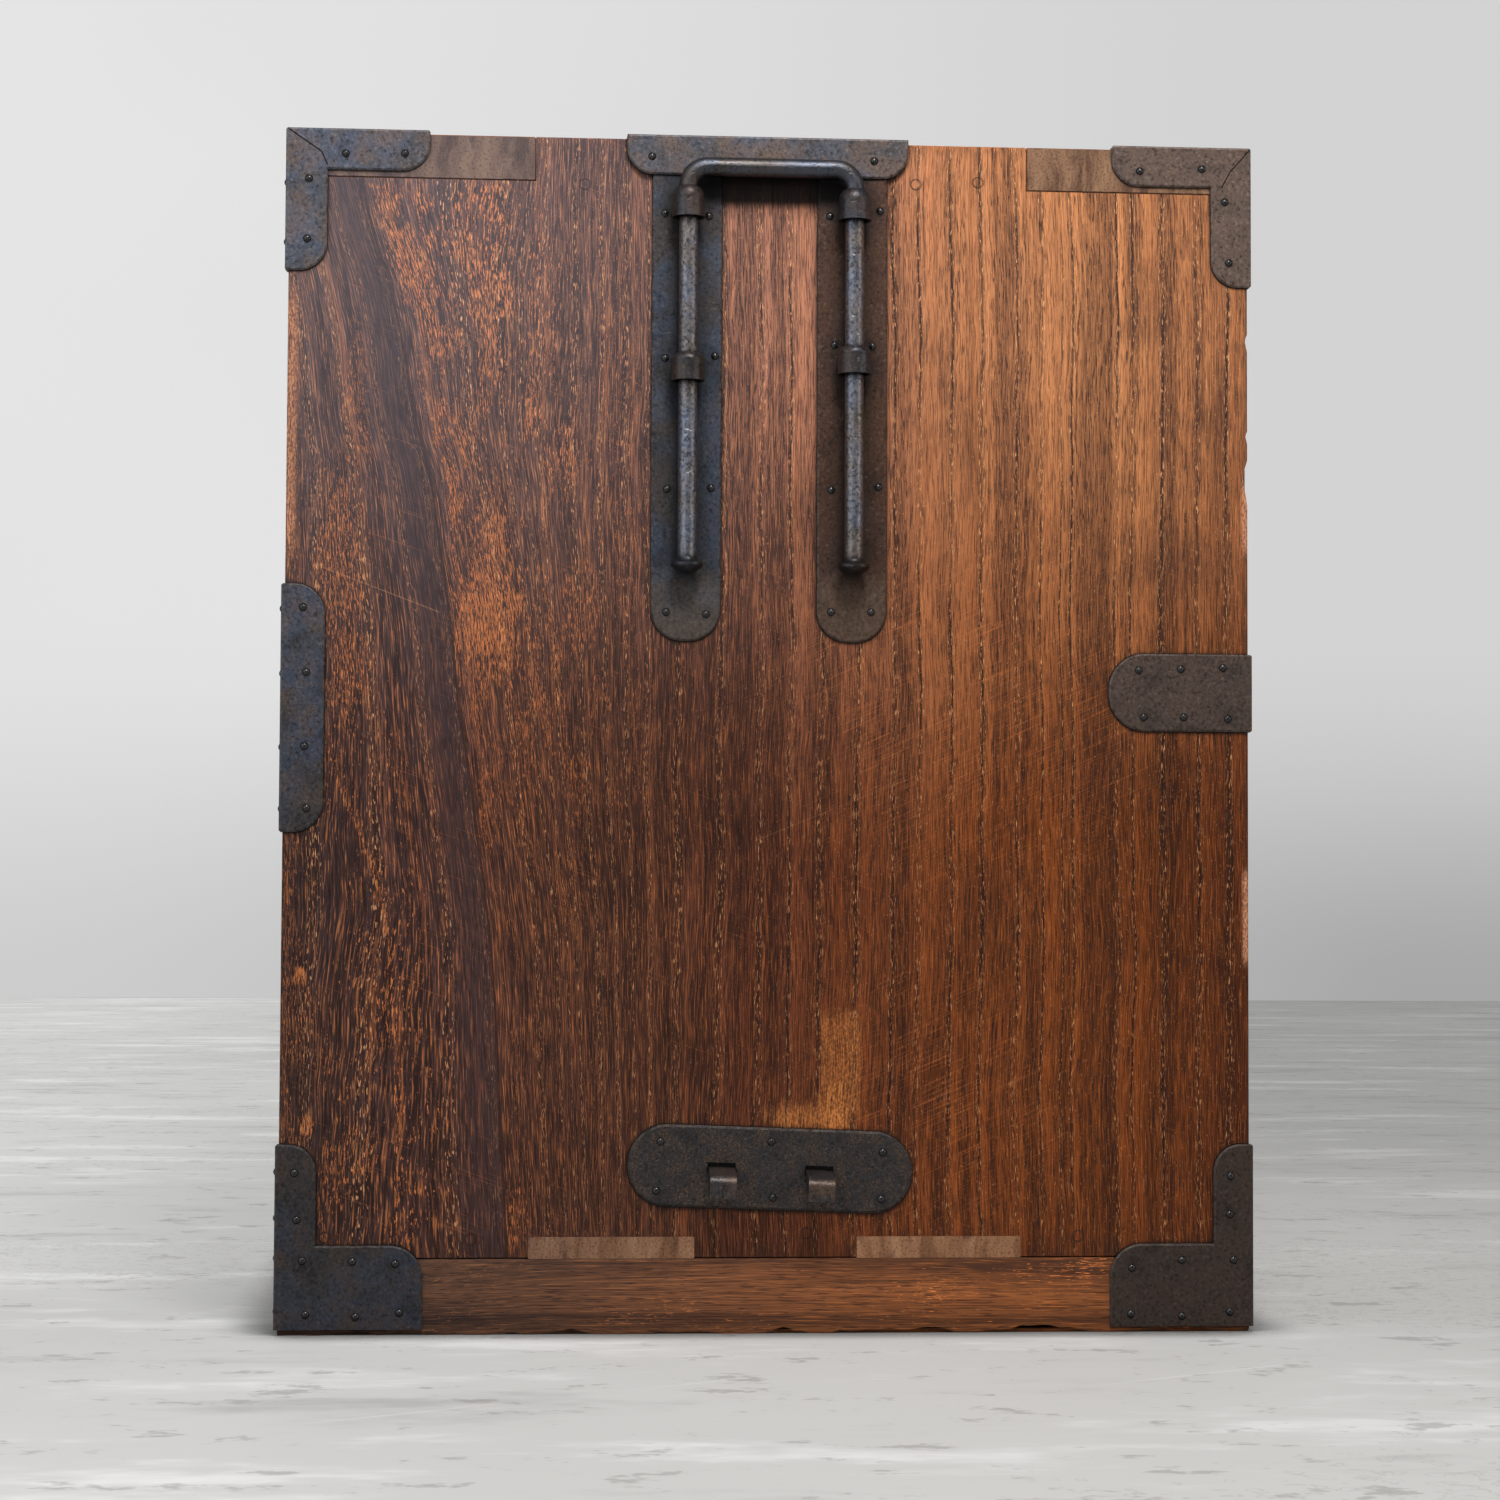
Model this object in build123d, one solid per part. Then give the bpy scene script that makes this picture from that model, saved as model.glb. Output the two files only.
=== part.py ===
from build123d import *
import os

# One stackable section of a two-drawer clothing chest, in millimetres.
# +X is the right end, -Y the front and +Z up.  Everything is drawn about the middle of the
# carcass and moved back by frame_shift, so that the origin is under the middle of the whole chest.

# ---------------------------------------------------------------- carcass sizes
chest_width = 909.0
chest_depth = 430.0
chest_height = 530.0
side_thickness = 20.0
top_thickness = 25.0
bottom_thickness = 18.5
base_rail_height = 33.0
base_rail_thickness = 24.0
back_thickness = 8.0
back_rabbet_width = 12.0
back_board_count = 5
back_board_gap = 0.3
divider_thickness = 20.0
divider_depth = 40.0
dust_board_thickness = 9.0
housing_depth = 6.0
housing_setback = 10.0
arris = 0.7
edge_nick_reach = 6.0
# Chips worn out of the back edge of each side: lowest point, length and depth.
edge_nicks = ((369.0, 21.0, 2.0), (397.0, 6.0, 0.9), (439.0, 8.0, 1.1))

# ---------------------------------------------------------------- finger joints and pegs
top_finger_thickness = 20.0
top_front_finger = 109.0
top_back_finger = 101.0
bottom_finger_thickness = 9.5
bottom_finger_width = 73.0
bottom_finger_starts = (109.0, 254.0)
peg_radius = 2.3
peg_length = 38.0
peg_clearance = 0.05
peg_proud = 0.2
top_pegs = ((-84.0, 21.0), (64.5, 18.0), (92.5, 16.5))
bottom_pegs = ((-194.5, 9.5), (-131.0, 8.5), (17.0, 11.0), (138.0, 9.5))

# ---------------------------------------------------------------- drawer sizes
drawer_setback = 3.5
drawer_side_gap = 1.0
drawer_top_gap = 1.5
drawer_under_gap = 0.3
drawer_rear_gap = 5.0
front_thickness = 18.0
front_lap = 6.0
drawer_side_thickness = 12.0
drawer_back_thickness = 10.0
drawer_back_drop = 10.0
drawer_bottom_thickness = 8.0

# ---------------------------------------------------------------- iron plate
plate = 1.6
plate_bevel = 0.8
fold_radius = 1.0
arm_length = 62.0
top_arm_width = 16.8
top_arm_round = 12.3
seam_width = 0.6
seam_depth = 0.4
seam_run = 15.0
foot_clearance = 2.5
foot_height = 36.5
foot_length = 63.0
foot_round = 14.5
foot_arm_width = 16.3
foot_arm_height = 83.0
front_strap_width = 17.6
front_strap_length = 109.5
front_strap_round = 13.5
front_strap_drop = 4.0
strap_tongue_height = 16.0
back_strap_length = 63.5
back_strap_width = 34.8
back_strap_height = 284.5

# ---------------------------------------------------------------- carrying handle
rod_radius = 4.25
rod_ys = (-38.5, 35.6)
rod_standoff = 8.3
bar_drop = 14.0
bar_bend = 8.5
rod_length = 178.0
flare_radius = 7.2
flare_height = 5.0
flare_rim = 1.2
dome_height = 3.4
handle_rise = 80.0
collar_play = 0.35
collar_mouth = 6.1
mouth_height = 4.0
upper_collar_radii = (7.4, 6.9)
upper_collar_height = 13.6
upper_collar_shoulder = 5.5
upper_collar_drop = 23.3
middle_collar_radii = (7.4, 7.5)
middle_collar_height = 12.4
middle_collar_shoulder = 4.0
middle_collar_drops = (97.5, 93.4)
stem_width = 5.0
stem_height = 7.0
stem_foot = 2.5
strip_width = 31.0
strip_length = 222.5
strip_top_gap = 2.0
strip_round = 14.0
cross_centre = -2.5
cross_length = 126.0
cross_height = 16.2
cross_wrap = 20.0
cross_round = 12.0

# ---------------------------------------------------------------- hook plate and hooks
hook_plate_centre = (0.4, 72.3)
hook_plate_size = (126.0, 36.0)
hook_plate_thickness = 1.8
hook_plate_bevel = 1.0
hook_plate_tilt = -2.0
hook_ys = (-21.6, 21.7)
hook_width = 11.6
hook_thickness = 2.8
hook_root_above = 0.2
hook_reach = 17.0
hook_fall = 3.4
hook_tip_below = 13.0
hook_bend = 4.2
slot_height = 4.6
slot_play = 0.4

# ---------------------------------------------------------------- nails
nail_head_radius = 1.8
nail_head_height = 1.1
nail_shank_radius = 0.9
nail_depth = 5.5
nail_clearance = 0.06
# Nails are given from the chest's corner: first inwards along the face, then up or down.
top_front_nails = ((24.8, 9.7), (50.8, 9.1), (8.7, 21.2), (8.1, 48.0))
top_back_nails = ((49.3, 10.0), (21.0, 8.5), (10.5, 23.3), (8.7, 51.0))
top_face_nails = ((9.0, 25.0), (9.0, 50.0), (25.0, 9.0), (50.0, 9.0))
foot_front_nails = ((6.9, 70.7), (8.0, 50.4), (10.7, 32.6), (32.4, 32.1), (51.1, 31.2),
                    (12.3, 9.2), (34.0, 8.2), (53.0, 9.9))
foot_back_nails = ((8.7, 69.0), (9.1, 52.1), (53.3, 28.4), (30.8, 31.8), (7.4, 31.8),
                   (53.8, 8.1), (30.9, 7.1), (9.2, 8.8))
front_strap_nails = ((8.1, 44.2), (9.7, 15.6), (9.2, -17.0), (10.4, -44.2))
strap_tongue_nails = ((30.0, 0.0), (52.0, 0.0))
back_strap_nails = ((49.9, 10.0), (30.9, 10.6), (11.8, 11.3), (47.7, -11.1), (29.6, -10.9),
                    (9.6, -11.6))
cross_nails = ((-52.0, 8.4), (47.5, 8.4))
cross_top_nails = ((-50.0, 10.0), (0.0, 10.0), (50.0, 10.0))
strip_nails = (((-10.1, 191.0), (9.6, 190.0), (-9.7, 126.0), (12.6, 127.2), (-8.5, 67.4),
                (11.1, 68.1), (-8.6, 12.6), (9.2, 11.9)),
               ((-10.2, 191.1), (12.3, 193.9), (-8.0, 133.1), (9.0, 132.9), (-9.3, 68.0),
                (11.8, 69.6), (-9.2, 13.4), (8.7, 13.6)))
hook_plate_nails = ((-49.0, 10.4), (0.0, 12.0), (49.5, 9.0), (-50.0, -11.2), (1.5, -12.6),
                    (49.5, -11.6))

# ---------------------------------------------------------------- drawer ironwork
bail_x = 205.0
bail_height_share = 0.56
bail_span = 96.0
bail_drop = 40.0
bail_radius = 3.5
bail_corner = 14.0
bail_shoulder = 7.0
bail_knob_radius = 4.6
bail_end_play = 0.5
eye_radius = 5.5
eye_width = 5.0
pin_clearance = 0.1
eye_standoff = 8.0
post_radius = 2.4
post_clearance = 0.1
post_clinch = 1.0
rose_radius = 11.0
rose_lobe_radius = 4.2
rose_lobe_count = 8
rose_thickness = 1.5
lock_plate_size = (78.0, 92.0)
lock_plate_round = 20.0
lock_plate_top_gap = 6.0
keyhole_radius = 2.6
keyhole_slot = (3.4, 9.0)
key_x = 14.0
key_bore_radius = 4.5
lock_case_size = (62.0, 13.0, 64.0)
lock_case_wall = 1.5
lock_case_top_gap = 2.5
bolt_width = 14.0
bolt_thickness = 6.0
bolt_play = 0.2
bolt_shy = 1.0
bolt_rise = 12.0
mortise_play = 0.6
mortise_spare = 1.5

# ---------------------------------------------------------------- places worked out from the sizes
half_width = chest_width / 2
half_depth = chest_depth / 2
inner_x = half_width - side_thickness
back_y = half_depth - back_thickness
bay_floor = base_rail_height + bottom_thickness
bay_ceiling = chest_height - top_thickness
divider_low = (bay_floor + bay_ceiling - divider_thickness) / 2
divider_high = divider_low + divider_thickness
rod_x = half_width + plate + rod_standoff
drawer_face = -half_depth + drawer_setback
strip_bottom = chest_height - strip_top_gap - strip_length
frame_shift = (-drawer_face + eye_standoff + eye_radius - half_depth - plate - nail_head_height) / 2

os.makedirs("parts", exist_ok=True)


def export(node, *solids):
    """Write one node: a solid, or a group of like solids."""
    moved = [Pos(0, frame_shift, 0) * solid for solid in solids]
    export_step(moved[0] if len(moved) == 1 else Compound(children=moved), f"parts/{node}.step")


def other_end(solid):
    """The same piece on the left end of the chest."""
    return mirror(solid, about=Plane.YZ)


def front_to_back(solid):
    """The same piece at the back of the chest."""
    return mirror(solid, about=Plane.XZ)


def block(x_span, y_span, z_span, ease=0.0):
    """A board between pairs of limits, its edges eased by a small chamfer."""
    spans = (x_span, y_span, z_span)
    middle = [(low + high) / 2 for low, high in spans]
    board = Pos(*middle) * Box(*[high - low for low, high in spans])
    return chamfer(board.edges(), ease) if ease else board


def edges_along(solid, axis, **at):
    """The edges parallel to an axis whose middle has the given X, Y or Z."""
    found = solid.edges().filter_by(axis)
    for name, value in at.items():
        found = found.filter_by(lambda edge: abs(getattr(edge.center(), name) - value) < 0.01)
    return found


def nail(lift):
    """A round-headed nail standing on a face, its head resting lift above it."""
    point = -nail_depth - lift
    dome = TangentArc((0, nail_head_height), (nail_head_radius, 0), tangent=(1, 0))
    shank = Polyline((0, nail_head_height), (0, point), (nail_shank_radius, point),
                     (nail_shank_radius, 0), (nail_head_radius, 0))
    return Pos(0, 0, lift) * revolve(Plane.XZ * make_face(shank + dome), Axis.Z)


def nail_hole(lift):
    """The punched hole that a nail goes through."""
    height = 4 * lift
    return Cylinder(nail_shank_radius + nail_clearance, height)


def nailed(solid, face, points, lift=plate):
    """A plate with its holes punched, and the nails that hold it to a face."""
    nails = [face * Pos(u, v) * nail(lift) for u, v in points]
    for u, v in points:
        solid -= face * Pos(u, v) * nail_hole(lift)
    return solid, nails


# ---------------------------------------------------------------- faces that iron is nailed to
side_face = Plane(origin=(half_width, 0, 0), x_dir=(0, 1, 0), z_dir=(1, 0, 0))
front_face = Plane(origin=(0, -half_depth, 0), x_dir=(1, 0, 0), z_dir=(0, -1, 0))
top_face = Plane(origin=(0, 0, chest_height), x_dir=(1, 0, 0), z_dir=(0, 0, 1))


def on_side(points, from_z, up=1):
    """Points given inwards from the front edge and up (or down) from a height, on the side face."""
    return [(-half_depth + u, from_z + up * v) for u, v in points]


def on_front(points, from_z, up=1):
    """The same points, folded round the corner on to the front face."""
    return [(half_width - u, from_z + up * v) for u, v in points]


# ---------------------------------------------------------------- folded iron
def folded_strip(leg_a, leg_b, low, high, round_low=0.0, round_high=0.0):
    """A strip folded round an upright edge, from z = low to z = high.

    The wood fills x < 0, y > 0.  Leg A lies on x = 0 and runs to y = leg_a, leg B lies on
    y = 0 and runs to x = -leg_b.  The free corners can be rounded at either end.
    """
    section = Polyline((0, 0), (0, leg_a), (plate, leg_a), (plate, -plate), (-leg_b, -plate),
                       (-leg_b, 0), (0, 0))
    strip = Pos(0, 0, low) * extrude(make_face(section), high - low)
    for height, radius in ((low, round_low), (high, round_high)):
        if radius:
            free = edges_along(strip, Axis.X, Y=leg_a, Z=height)
            free += edges_along(strip, Axis.Y, X=-leg_b, Z=height)
            strip = fillet(free, radius)
    rim = []
    for edge in strip.edges():
        spot = edge.position_at(0.5)
        outer_a = abs(spot.X - plate) < 0.01 and spot.Y > 0.01
        outer_b = abs(spot.Y + plate) < 0.01 and spot.X < -0.01
        at_fold_end = abs(spot.Z - low) < 0.01 and not round_low
        at_fold_end = at_fold_end or (abs(spot.Z - high) < 0.01 and not round_high)
        if (outer_a or outer_b) and not at_fold_end:
            rim.append(edge)
    return chamfer(rim, plate_bevel)


def seam(*points):
    """The line where one arm of a folded fitting laps over the other."""
    return extrude(trace(Polyline(*points), line_width=seam_width), seam_depth)


def top_fitting(side_nails, seam_points):
    """Corner fitting over the top front corner of the right end: three folded arms."""
    corner = (half_width, -half_depth, chest_height)
    upright = Pos(*corner) * folded_strip(top_arm_width, top_arm_width, -arm_length, plate,
                                          round_low=top_arm_round)
    along_side = Plane(origin=corner, x_dir=(1, 0, 0), z_dir=(0, 1, 0)) * folded_strip(
        top_arm_width, top_arm_width, -plate, arm_length, round_high=top_arm_round)
    along_front = Plane(origin=corner, x_dir=(0, -1, 0), z_dir=(1, 0, 0)) * folded_strip(
        top_arm_width, top_arm_width, -arm_length, plate, round_low=top_arm_round)
    fitting = upright + along_side + along_front
    folds = [edge for edge in fitting.edges() if sum((
        abs(edge.center().X - half_width - plate) < 0.01,
        abs(edge.center().Y + half_depth + plate) < 0.01,
        abs(edge.center().Z - chest_height - plate) < 0.01)) == 2]
    fitting = fillet(folds, fold_radius)
    groove = Pos(0, 0, plate - seam_depth)
    fitting -= side_face * groove * seam(*on_side(seam_points, chest_height, -1))
    fitting -= front_face * groove * seam(*on_front(seam_points, chest_height, -1))
    fitting, nails = nailed(fitting, side_face, on_side(side_nails, chest_height, -1))
    fitting, more = nailed(fitting, front_face, on_front(side_nails, chest_height, -1))
    on_top = [(half_width - u, -half_depth + v) for u, v in top_face_nails]
    fitting, last = nailed(fitting, top_face, on_top)
    return fitting, nails + more + last


def foot_fitting(side_nails):
    """Corner fitting round the bottom front corner of the right end."""
    low = folded_strip(foot_length, foot_length, foot_clearance, foot_clearance + foot_height,
                       round_high=foot_round)
    arm = folded_strip(foot_arm_width, foot_arm_width, foot_clearance, foot_arm_height,
                       round_high=top_arm_round)
    fitting = Pos(half_width, -half_depth, 0) * (low + arm)
    fold = edges_along(fitting, Axis.Z, X=half_width + plate, Y=-half_depth - plate)
    fitting = fillet(fold, fold_radius)
    fitting, nails = nailed(fitting, side_face, on_side(side_nails, 0))
    fitting, more = nailed(fitting, front_face, on_front(side_nails, 0))
    return fitting, nails + more


def front_strap():
    """Strap folded round the front edge where the divider rail meets the side."""
    centre = (divider_low + divider_high) / 2 - front_strap_drop
    half = front_strap_length / 2
    strap = Pos(half_width, -half_depth, centre) * folded_strip(
        front_strap_width, front_strap_width, -half, half, front_strap_round, front_strap_round)
    tongue_middle = (divider_low + divider_high) / 2
    outline = Rectangle(arm_length, strap_tongue_height, align=(Align.MAX, Align.CENTER))
    outline = fillet(outline.vertices().group_by(Axis.X)[0], strap_tongue_height / 2.1)
    tongue = extrude(front_face * Pos(half_width, tongue_middle) * outline, plate)
    strap += chamfer(tongue.edges().group_by(Axis.Y)[0].filter_by(
        lambda edge: edge.center().X < half_width - 0.01), plate_bevel)
    fold = edges_along(strap, Axis.Z, X=half_width + plate, Y=-half_depth - plate)
    strap = fillet(fold, fold_radius)
    strap, nails = nailed(strap, side_face, on_side(front_strap_nails, centre))
    on_rail = on_front(front_strap_nails, centre)
    on_rail += on_front(strap_tongue_nails, tongue_middle)
    strap, more = nailed(strap, front_face, on_rail)
    return strap, nails + more


def back_strap():
    """Round-ended strap folded round the back edge, drawn at the front and mirrored."""
    half = back_strap_width / 2
    strap = Pos(half_width, -half_depth, back_strap_height) * folded_strip(
        back_strap_length, back_strap_length, -half, half, half * 0.95, half * 0.95)
    fold = edges_along(strap, Axis.Z, X=half_width + plate, Y=-half_depth - plate)
    strap = fillet(fold, fold_radius)
    strap, nails = nailed(strap, side_face, on_side(back_strap_nails, back_strap_height))
    strap, more = nailed(strap, front_face, on_front(back_strap_nails, back_strap_height))
    return front_to_back(strap), [front_to_back(one) for one in nails + more]


def bevelled(outline, face, thickness, bevel):
    """A flat plate on a face, its outer rim bevelled."""
    flat = extrude(outline, thickness)
    flat = chamfer(flat.edges().group_by(Axis.Z)[-1], bevel)
    return face * flat


# ---------------------------------------------------------------- carrying handle and its ironwork
cross_places = [(cross_centre + u, chest_height - v) for u, v in cross_nails]


def handle_strips():
    """The two upright strips that the collars stand on."""
    strips = []
    nails = []
    for rod_y, points in zip(rod_ys, strip_nails):
        outline = Rectangle(strip_width, strip_length, align=(Align.CENTER, Align.MIN))
        outline = fillet(outline.vertices().group_by(Axis.Y)[0], strip_round)
        strip = bevelled(Pos(rod_y, strip_bottom) * outline, side_face, plate, plate_bevel)
        places = [(rod_y + u, strip_bottom + v) for u, v in points]
        strip, held = nailed(strip, side_face, places)
        for u, v in cross_places:
            strip -= side_face * Pos(u, v) * nail_hole(plate)
        strips.append(strip)
        nails += held
    return strips, nails


def cross_plate():
    """Plate across the tops of the strips, folded over on to the top board."""
    outline = Rectangle(cross_length, cross_height + 2 * plate, align=(Align.CENTER, Align.MIN))
    outline = fillet(outline.vertices().group_by(Axis.Y)[0], cross_round)
    down = extrude(Pos(cross_centre, chest_height - cross_height) * outline, plate)
    rim = down.edges().group_by(Axis.Z)[-1].sort_by(Axis.Y)[:-1]
    down = side_face * Pos(0, 0, plate) * chamfer(rim, plate_bevel)
    over = block((half_width - cross_wrap, half_width + plate),
                 (cross_centre - cross_length / 2, cross_centre + cross_length / 2),
                 (chest_height, chest_height + plate))
    whole = down + over - block((0, half_width + 3 * plate), (-half_depth, half_depth),
                                (chest_height + plate, chest_height + 3 * plate))
    whole = fillet(edges_along(whole, Axis.Y, X=half_width + 2 * plate, Z=chest_height + plate), fold_radius)
    whole, nails = nailed(whole, side_face, cross_places, 2 * plate)
    places = [(half_width - v, cross_centre + u) for u, v in cross_top_nails]
    whole, more = nailed(whole, top_face, places)
    return whole, nails + more


def collar(body_radius, mouth_radius, height, shoulder, rod_y, base_z):
    """A forged collar round the rod, and the flat stem that clinches it through the side."""
    bore = rod_radius + collar_play
    outer = Line((bore, 0), (mouth_radius, 0)) + Line((mouth_radius, 0), (body_radius, height - shoulder))
    round_over = ThreePointArc((body_radius, height - shoulder),
                               (body_radius - 0.6, height - shoulder / 3), (bore + 0.3, height))
    outer += round_over + Line((bore + 0.3, height), (bore, height)) + Line((bore, height), (bore, 0))
    body = revolve(Plane.XZ * make_face(outer), Axis.Z)
    stem_reach = rod_x - inner_x
    stem = block((-stem_reach, 0), (-stem_width / 2, stem_width / 2), (stem_foot, stem_foot + stem_height))
    whole = body + stem - Pos(0, 0, height / 2) * Cylinder(bore, 2 * height)
    whole -= Pos(0, 0, mouth_height / 2) * Cone(collar_mouth, bore, mouth_height)
    return Pos(rod_x, rod_y, base_z) * whole


def handle_collars():
    """Two bell-shaped collars at the top of the rods, and two barrel-shaped ones half way down."""
    collars = []
    for rod_y, middle_drop in zip(rod_ys, middle_collar_drops):
        base = chest_height - upper_collar_drop - upper_collar_height
        collars.append(collar(upper_collar_radii[1], upper_collar_radii[0], upper_collar_height,
                              upper_collar_shoulder, rod_y, base))
        base = chest_height - middle_drop - middle_collar_height
        collars.append(collar(middle_collar_radii[1], middle_collar_radii[0], middle_collar_height,
                              middle_collar_shoulder, rod_y, base))
    return collars


def stem_slots(x_span):
    """The slots that the collars' stems go through."""
    slots = []
    for one in handle_collars():
        low = one.bounding_box().min.Z + stem_foot
        middle = one.bounding_box().center().Y
        slots.append(block(x_span, (middle - stem_width / 2, middle + stem_width / 2),
                           (low, low + stem_height)))
    return slots


def carry_handle():
    """A U of round rod, its two ends upset into flared heads."""
    bar_z = chest_height - bar_drop
    end_z = bar_z - rod_length
    front_y, back_y_rod = rod_ys
    path = FilletPolyline((rod_x, front_y, end_z), (rod_x, front_y, bar_z), (rod_x, back_y_rod, bar_z),
                          (rod_x, back_y_rod, end_z), radius=bar_bend)
    handle = sweep(Plane(origin=(rod_x, front_y, end_z), z_dir=(0, 0, 1)) * Circle(rod_radius), path=path)
    flare = ThreePointArc((rod_radius, flare_height), (rod_radius + 0.7, flare_height * 0.45),
                          (flare_radius, flare_rim))
    dome = TangentArc((0, -dome_height), (flare_radius, 0), tangent=(1, 0))
    outline = Line((0, flare_height), (rod_radius, flare_height)) + flare
    outline += Line((flare_radius, flare_rim), (flare_radius, 0)) + dome + Line((0, -dome_height), (0, flare_height))
    head = revolve(Plane.XZ * make_face(outline), Axis.Z)
    for rod_y in rod_ys:
        handle += Pos(rod_x, rod_y, end_z) * head
    return handle


# ---------------------------------------------------------------- hook plate and hooks
hook_face = side_face * Pos(*hook_plate_centre) * Rot(0, 0, hook_plate_tilt)


def hook_plate():
    """Round-ended plate near the foot, with a slot over each hook."""
    length, height = hook_plate_size
    outline = Rectangle(length, height)
    outline = fillet(outline.vertices(), height / 2.05)
    flat = extrude(outline, hook_plate_thickness)
    flat = hook_face * chamfer(flat.edges().group_by(Axis.Z)[-1], hook_plate_bevel)
    for hook_y in hook_ys:
        opening = Pos(hook_y, hook_root_above + slot_height / 2 - hook_thickness) * Box(
            hook_width + 2 * slot_play, slot_height, 4 * hook_plate_thickness)
        flat -= hook_face * opening
    return nailed(flat, hook_face, hook_plate_nails, hook_plate_thickness)


def hook_outline():
    """The hook from its end: u is outwards from the side's face, v is up."""
    root_top = hook_root_above
    inner = -side_thickness
    knee = root_top - hook_fall
    tip = root_top - hook_tip_below
    inside = hook_reach - hook_thickness
    face = make_face(Polyline(
        (inner, root_top), (hook_plate_thickness, root_top), (hook_reach, knee), (hook_reach, tip),
        (inside, tip), (inside, knee - hook_thickness * 0.9),
        (hook_plate_thickness, root_top - hook_thickness), (inner, root_top - hook_thickness),
        (inner, root_top)))
    corners = face.vertices().sort_by(Axis.X)
    outer_knee = [one for one in corners if one.X > hook_reach - 0.01 and one.Y > tip + 0.01]
    face = fillet(outer_knee, hook_bend)
    inner_knee = [one for one in face.vertices() if abs(one.X - inside) < 0.01 and one.Y > tip + 0.01]
    return fillet(inner_knee, hook_bend - hook_thickness)


def hooks():
    """Two flat hooks bent down in front of the plate; their roots go through the side."""
    outline = hook_outline()
    turned = Plane(origin=(0, 0, 0), x_dir=(0, 0, 1), z_dir=(-1, 0, 0))
    strap = extrude(turned * outline, hook_width / 2, both=True)
    return [hook_face * Pos(hook_y, 0, 0) * strap for hook_y in hook_ys]


def hook_slots():
    """The slots in the side that the hooks' roots go through."""
    root = Box(hook_width, hook_thickness, 4 * side_thickness)
    return [hook_face * Pos(hook_y, hook_root_above - hook_thickness / 2) * root for hook_y in hook_ys]


# ---------------------------------------------------------------- pegs
def peg_places():
    """Each peg's place on the side face: across, and up from the floor."""
    places = [(y, chest_height - drop) for y, drop in top_pegs]
    return places + [(y, base_rail_height + rise) for y, rise in bottom_pegs]


def pegs(clearance=0.0, extra=0.0):
    """Pegs driven through the right side into the ends of the top and bottom boards."""
    length = peg_length + extra
    middle = half_width + peg_proud - peg_length / 2
    rod = Rot(0, 90, 0) * Cylinder(peg_radius + clearance, length)
    return [Pos(middle, y, z) * rod for y, z in peg_places()]


# ---------------------------------------------------------------- carcass
def both_ends(solids):
    """Right-end solids with their mirror images."""
    return solids + [other_end(one) for one in solids]


finger_spans = [(-half_depth + start, -half_depth + start + bottom_finger_width)
                for start in bottom_finger_starts]
top_finger_spans = [(-half_depth, -half_depth + top_front_finger), (half_depth - top_back_finger, half_depth)]
peg_holes = both_ends(pegs(peg_clearance, peg_clearance))


def edge_nick(low, length, depth):
    """The wood gone from one chip in the back edge of the right side."""
    outline = Polyline((half_depth + depth, low), (half_depth, low), (half_depth - depth, low + length * 0.55),
                       (half_depth - depth * 0.7, low + length * 0.8), (half_depth, low + length),
                       (half_depth + depth, low + length), (half_depth + depth, low))
    chip = extrude(Plane.YZ * make_face(outline), edge_nick_reach + arris)
    return Pos(half_width - edge_nick_reach, 0, 0) * chip


def side_panel():
    """The right side: long grain upright, notched for the fingers and housed for the rails."""
    panel = block((inner_x, half_width), (-half_depth, half_depth), (base_rail_height, chest_height), arris)
    finger_floor = chest_height - top_finger_thickness
    for span in top_finger_spans:
        panel -= block((inner_x, half_width), span, (finger_floor, chest_height))
    for span in finger_spans:
        panel -= block((inner_x, half_width), span, (base_rail_height, base_rail_height + bottom_finger_thickness))
    panel -= block((inner_x, inner_x + back_rabbet_width), (back_y, half_depth), (base_rail_height, bay_ceiling))
    panel -= block((inner_x, inner_x + housing_depth),
                   (-half_depth + housing_setback, -half_depth + divider_depth), (divider_low, divider_high))
    panel -= block((inner_x, inner_x + housing_depth), (-half_depth + divider_depth, back_y),
                   (divider_high - dust_board_thickness, divider_high))
    cuts = pegs(peg_clearance, peg_clearance) + stem_slots((inner_x, half_width)) + hook_slots()
    for cut in cuts + [edge_nick(*nick) for nick in edge_nicks]:
        panel -= cut
    return panel


def lock_mortise(ceiling):
    """The blind hole that a raised lock bolt enters, in the rail above its drawer."""
    wide = bolt_width / 2 + mortise_play
    thick = bolt_thickness / 2 + mortise_play
    return block((-wide, wide), (bolt_y - thick, bolt_y + thick), (ceiling, ceiling + bolt_rise + mortise_spare))


def top_board():
    """The top, with end-grain fingers through both sides."""
    board = block((-inner_x, inner_x), (-half_depth, half_depth), (bay_ceiling, chest_height), arris)
    for span in top_finger_spans:
        board += block((-half_width, half_width), span, (chest_height - top_finger_thickness, chest_height), arris)
    board -= lock_mortise(bay_ceiling)
    for hole in peg_holes:
        board -= hole
    return board


def bottom_board():
    """The bottom, with thin fingers through both sides."""
    board = block((-inner_x, inner_x), (-half_depth, back_y), (base_rail_height, bay_floor), arris)
    for span in finger_spans:
        board += block((-half_width, half_width), span,
                       (base_rail_height, base_rail_height + bottom_finger_thickness))
    for hole in peg_holes:
        board -= hole
    return board


def divider_rail():
    """The rail between the two drawers, housed in the sides."""
    rail = block((-inner_x - housing_depth, inner_x + housing_depth),
                 (-half_depth, -half_depth + divider_depth), (divider_low, divider_high))
    rail = chamfer(edges_along(rail, Axis.X, Y=-half_depth), arris)
    for end in (-1, 1):
        low, high = sorted((end * inner_x, end * (inner_x + housing_depth)))
        rail -= block((low, high), (-half_depth, -half_depth + housing_setback), (divider_low, divider_high))
    return rail - lock_mortise(divider_low)


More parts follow.
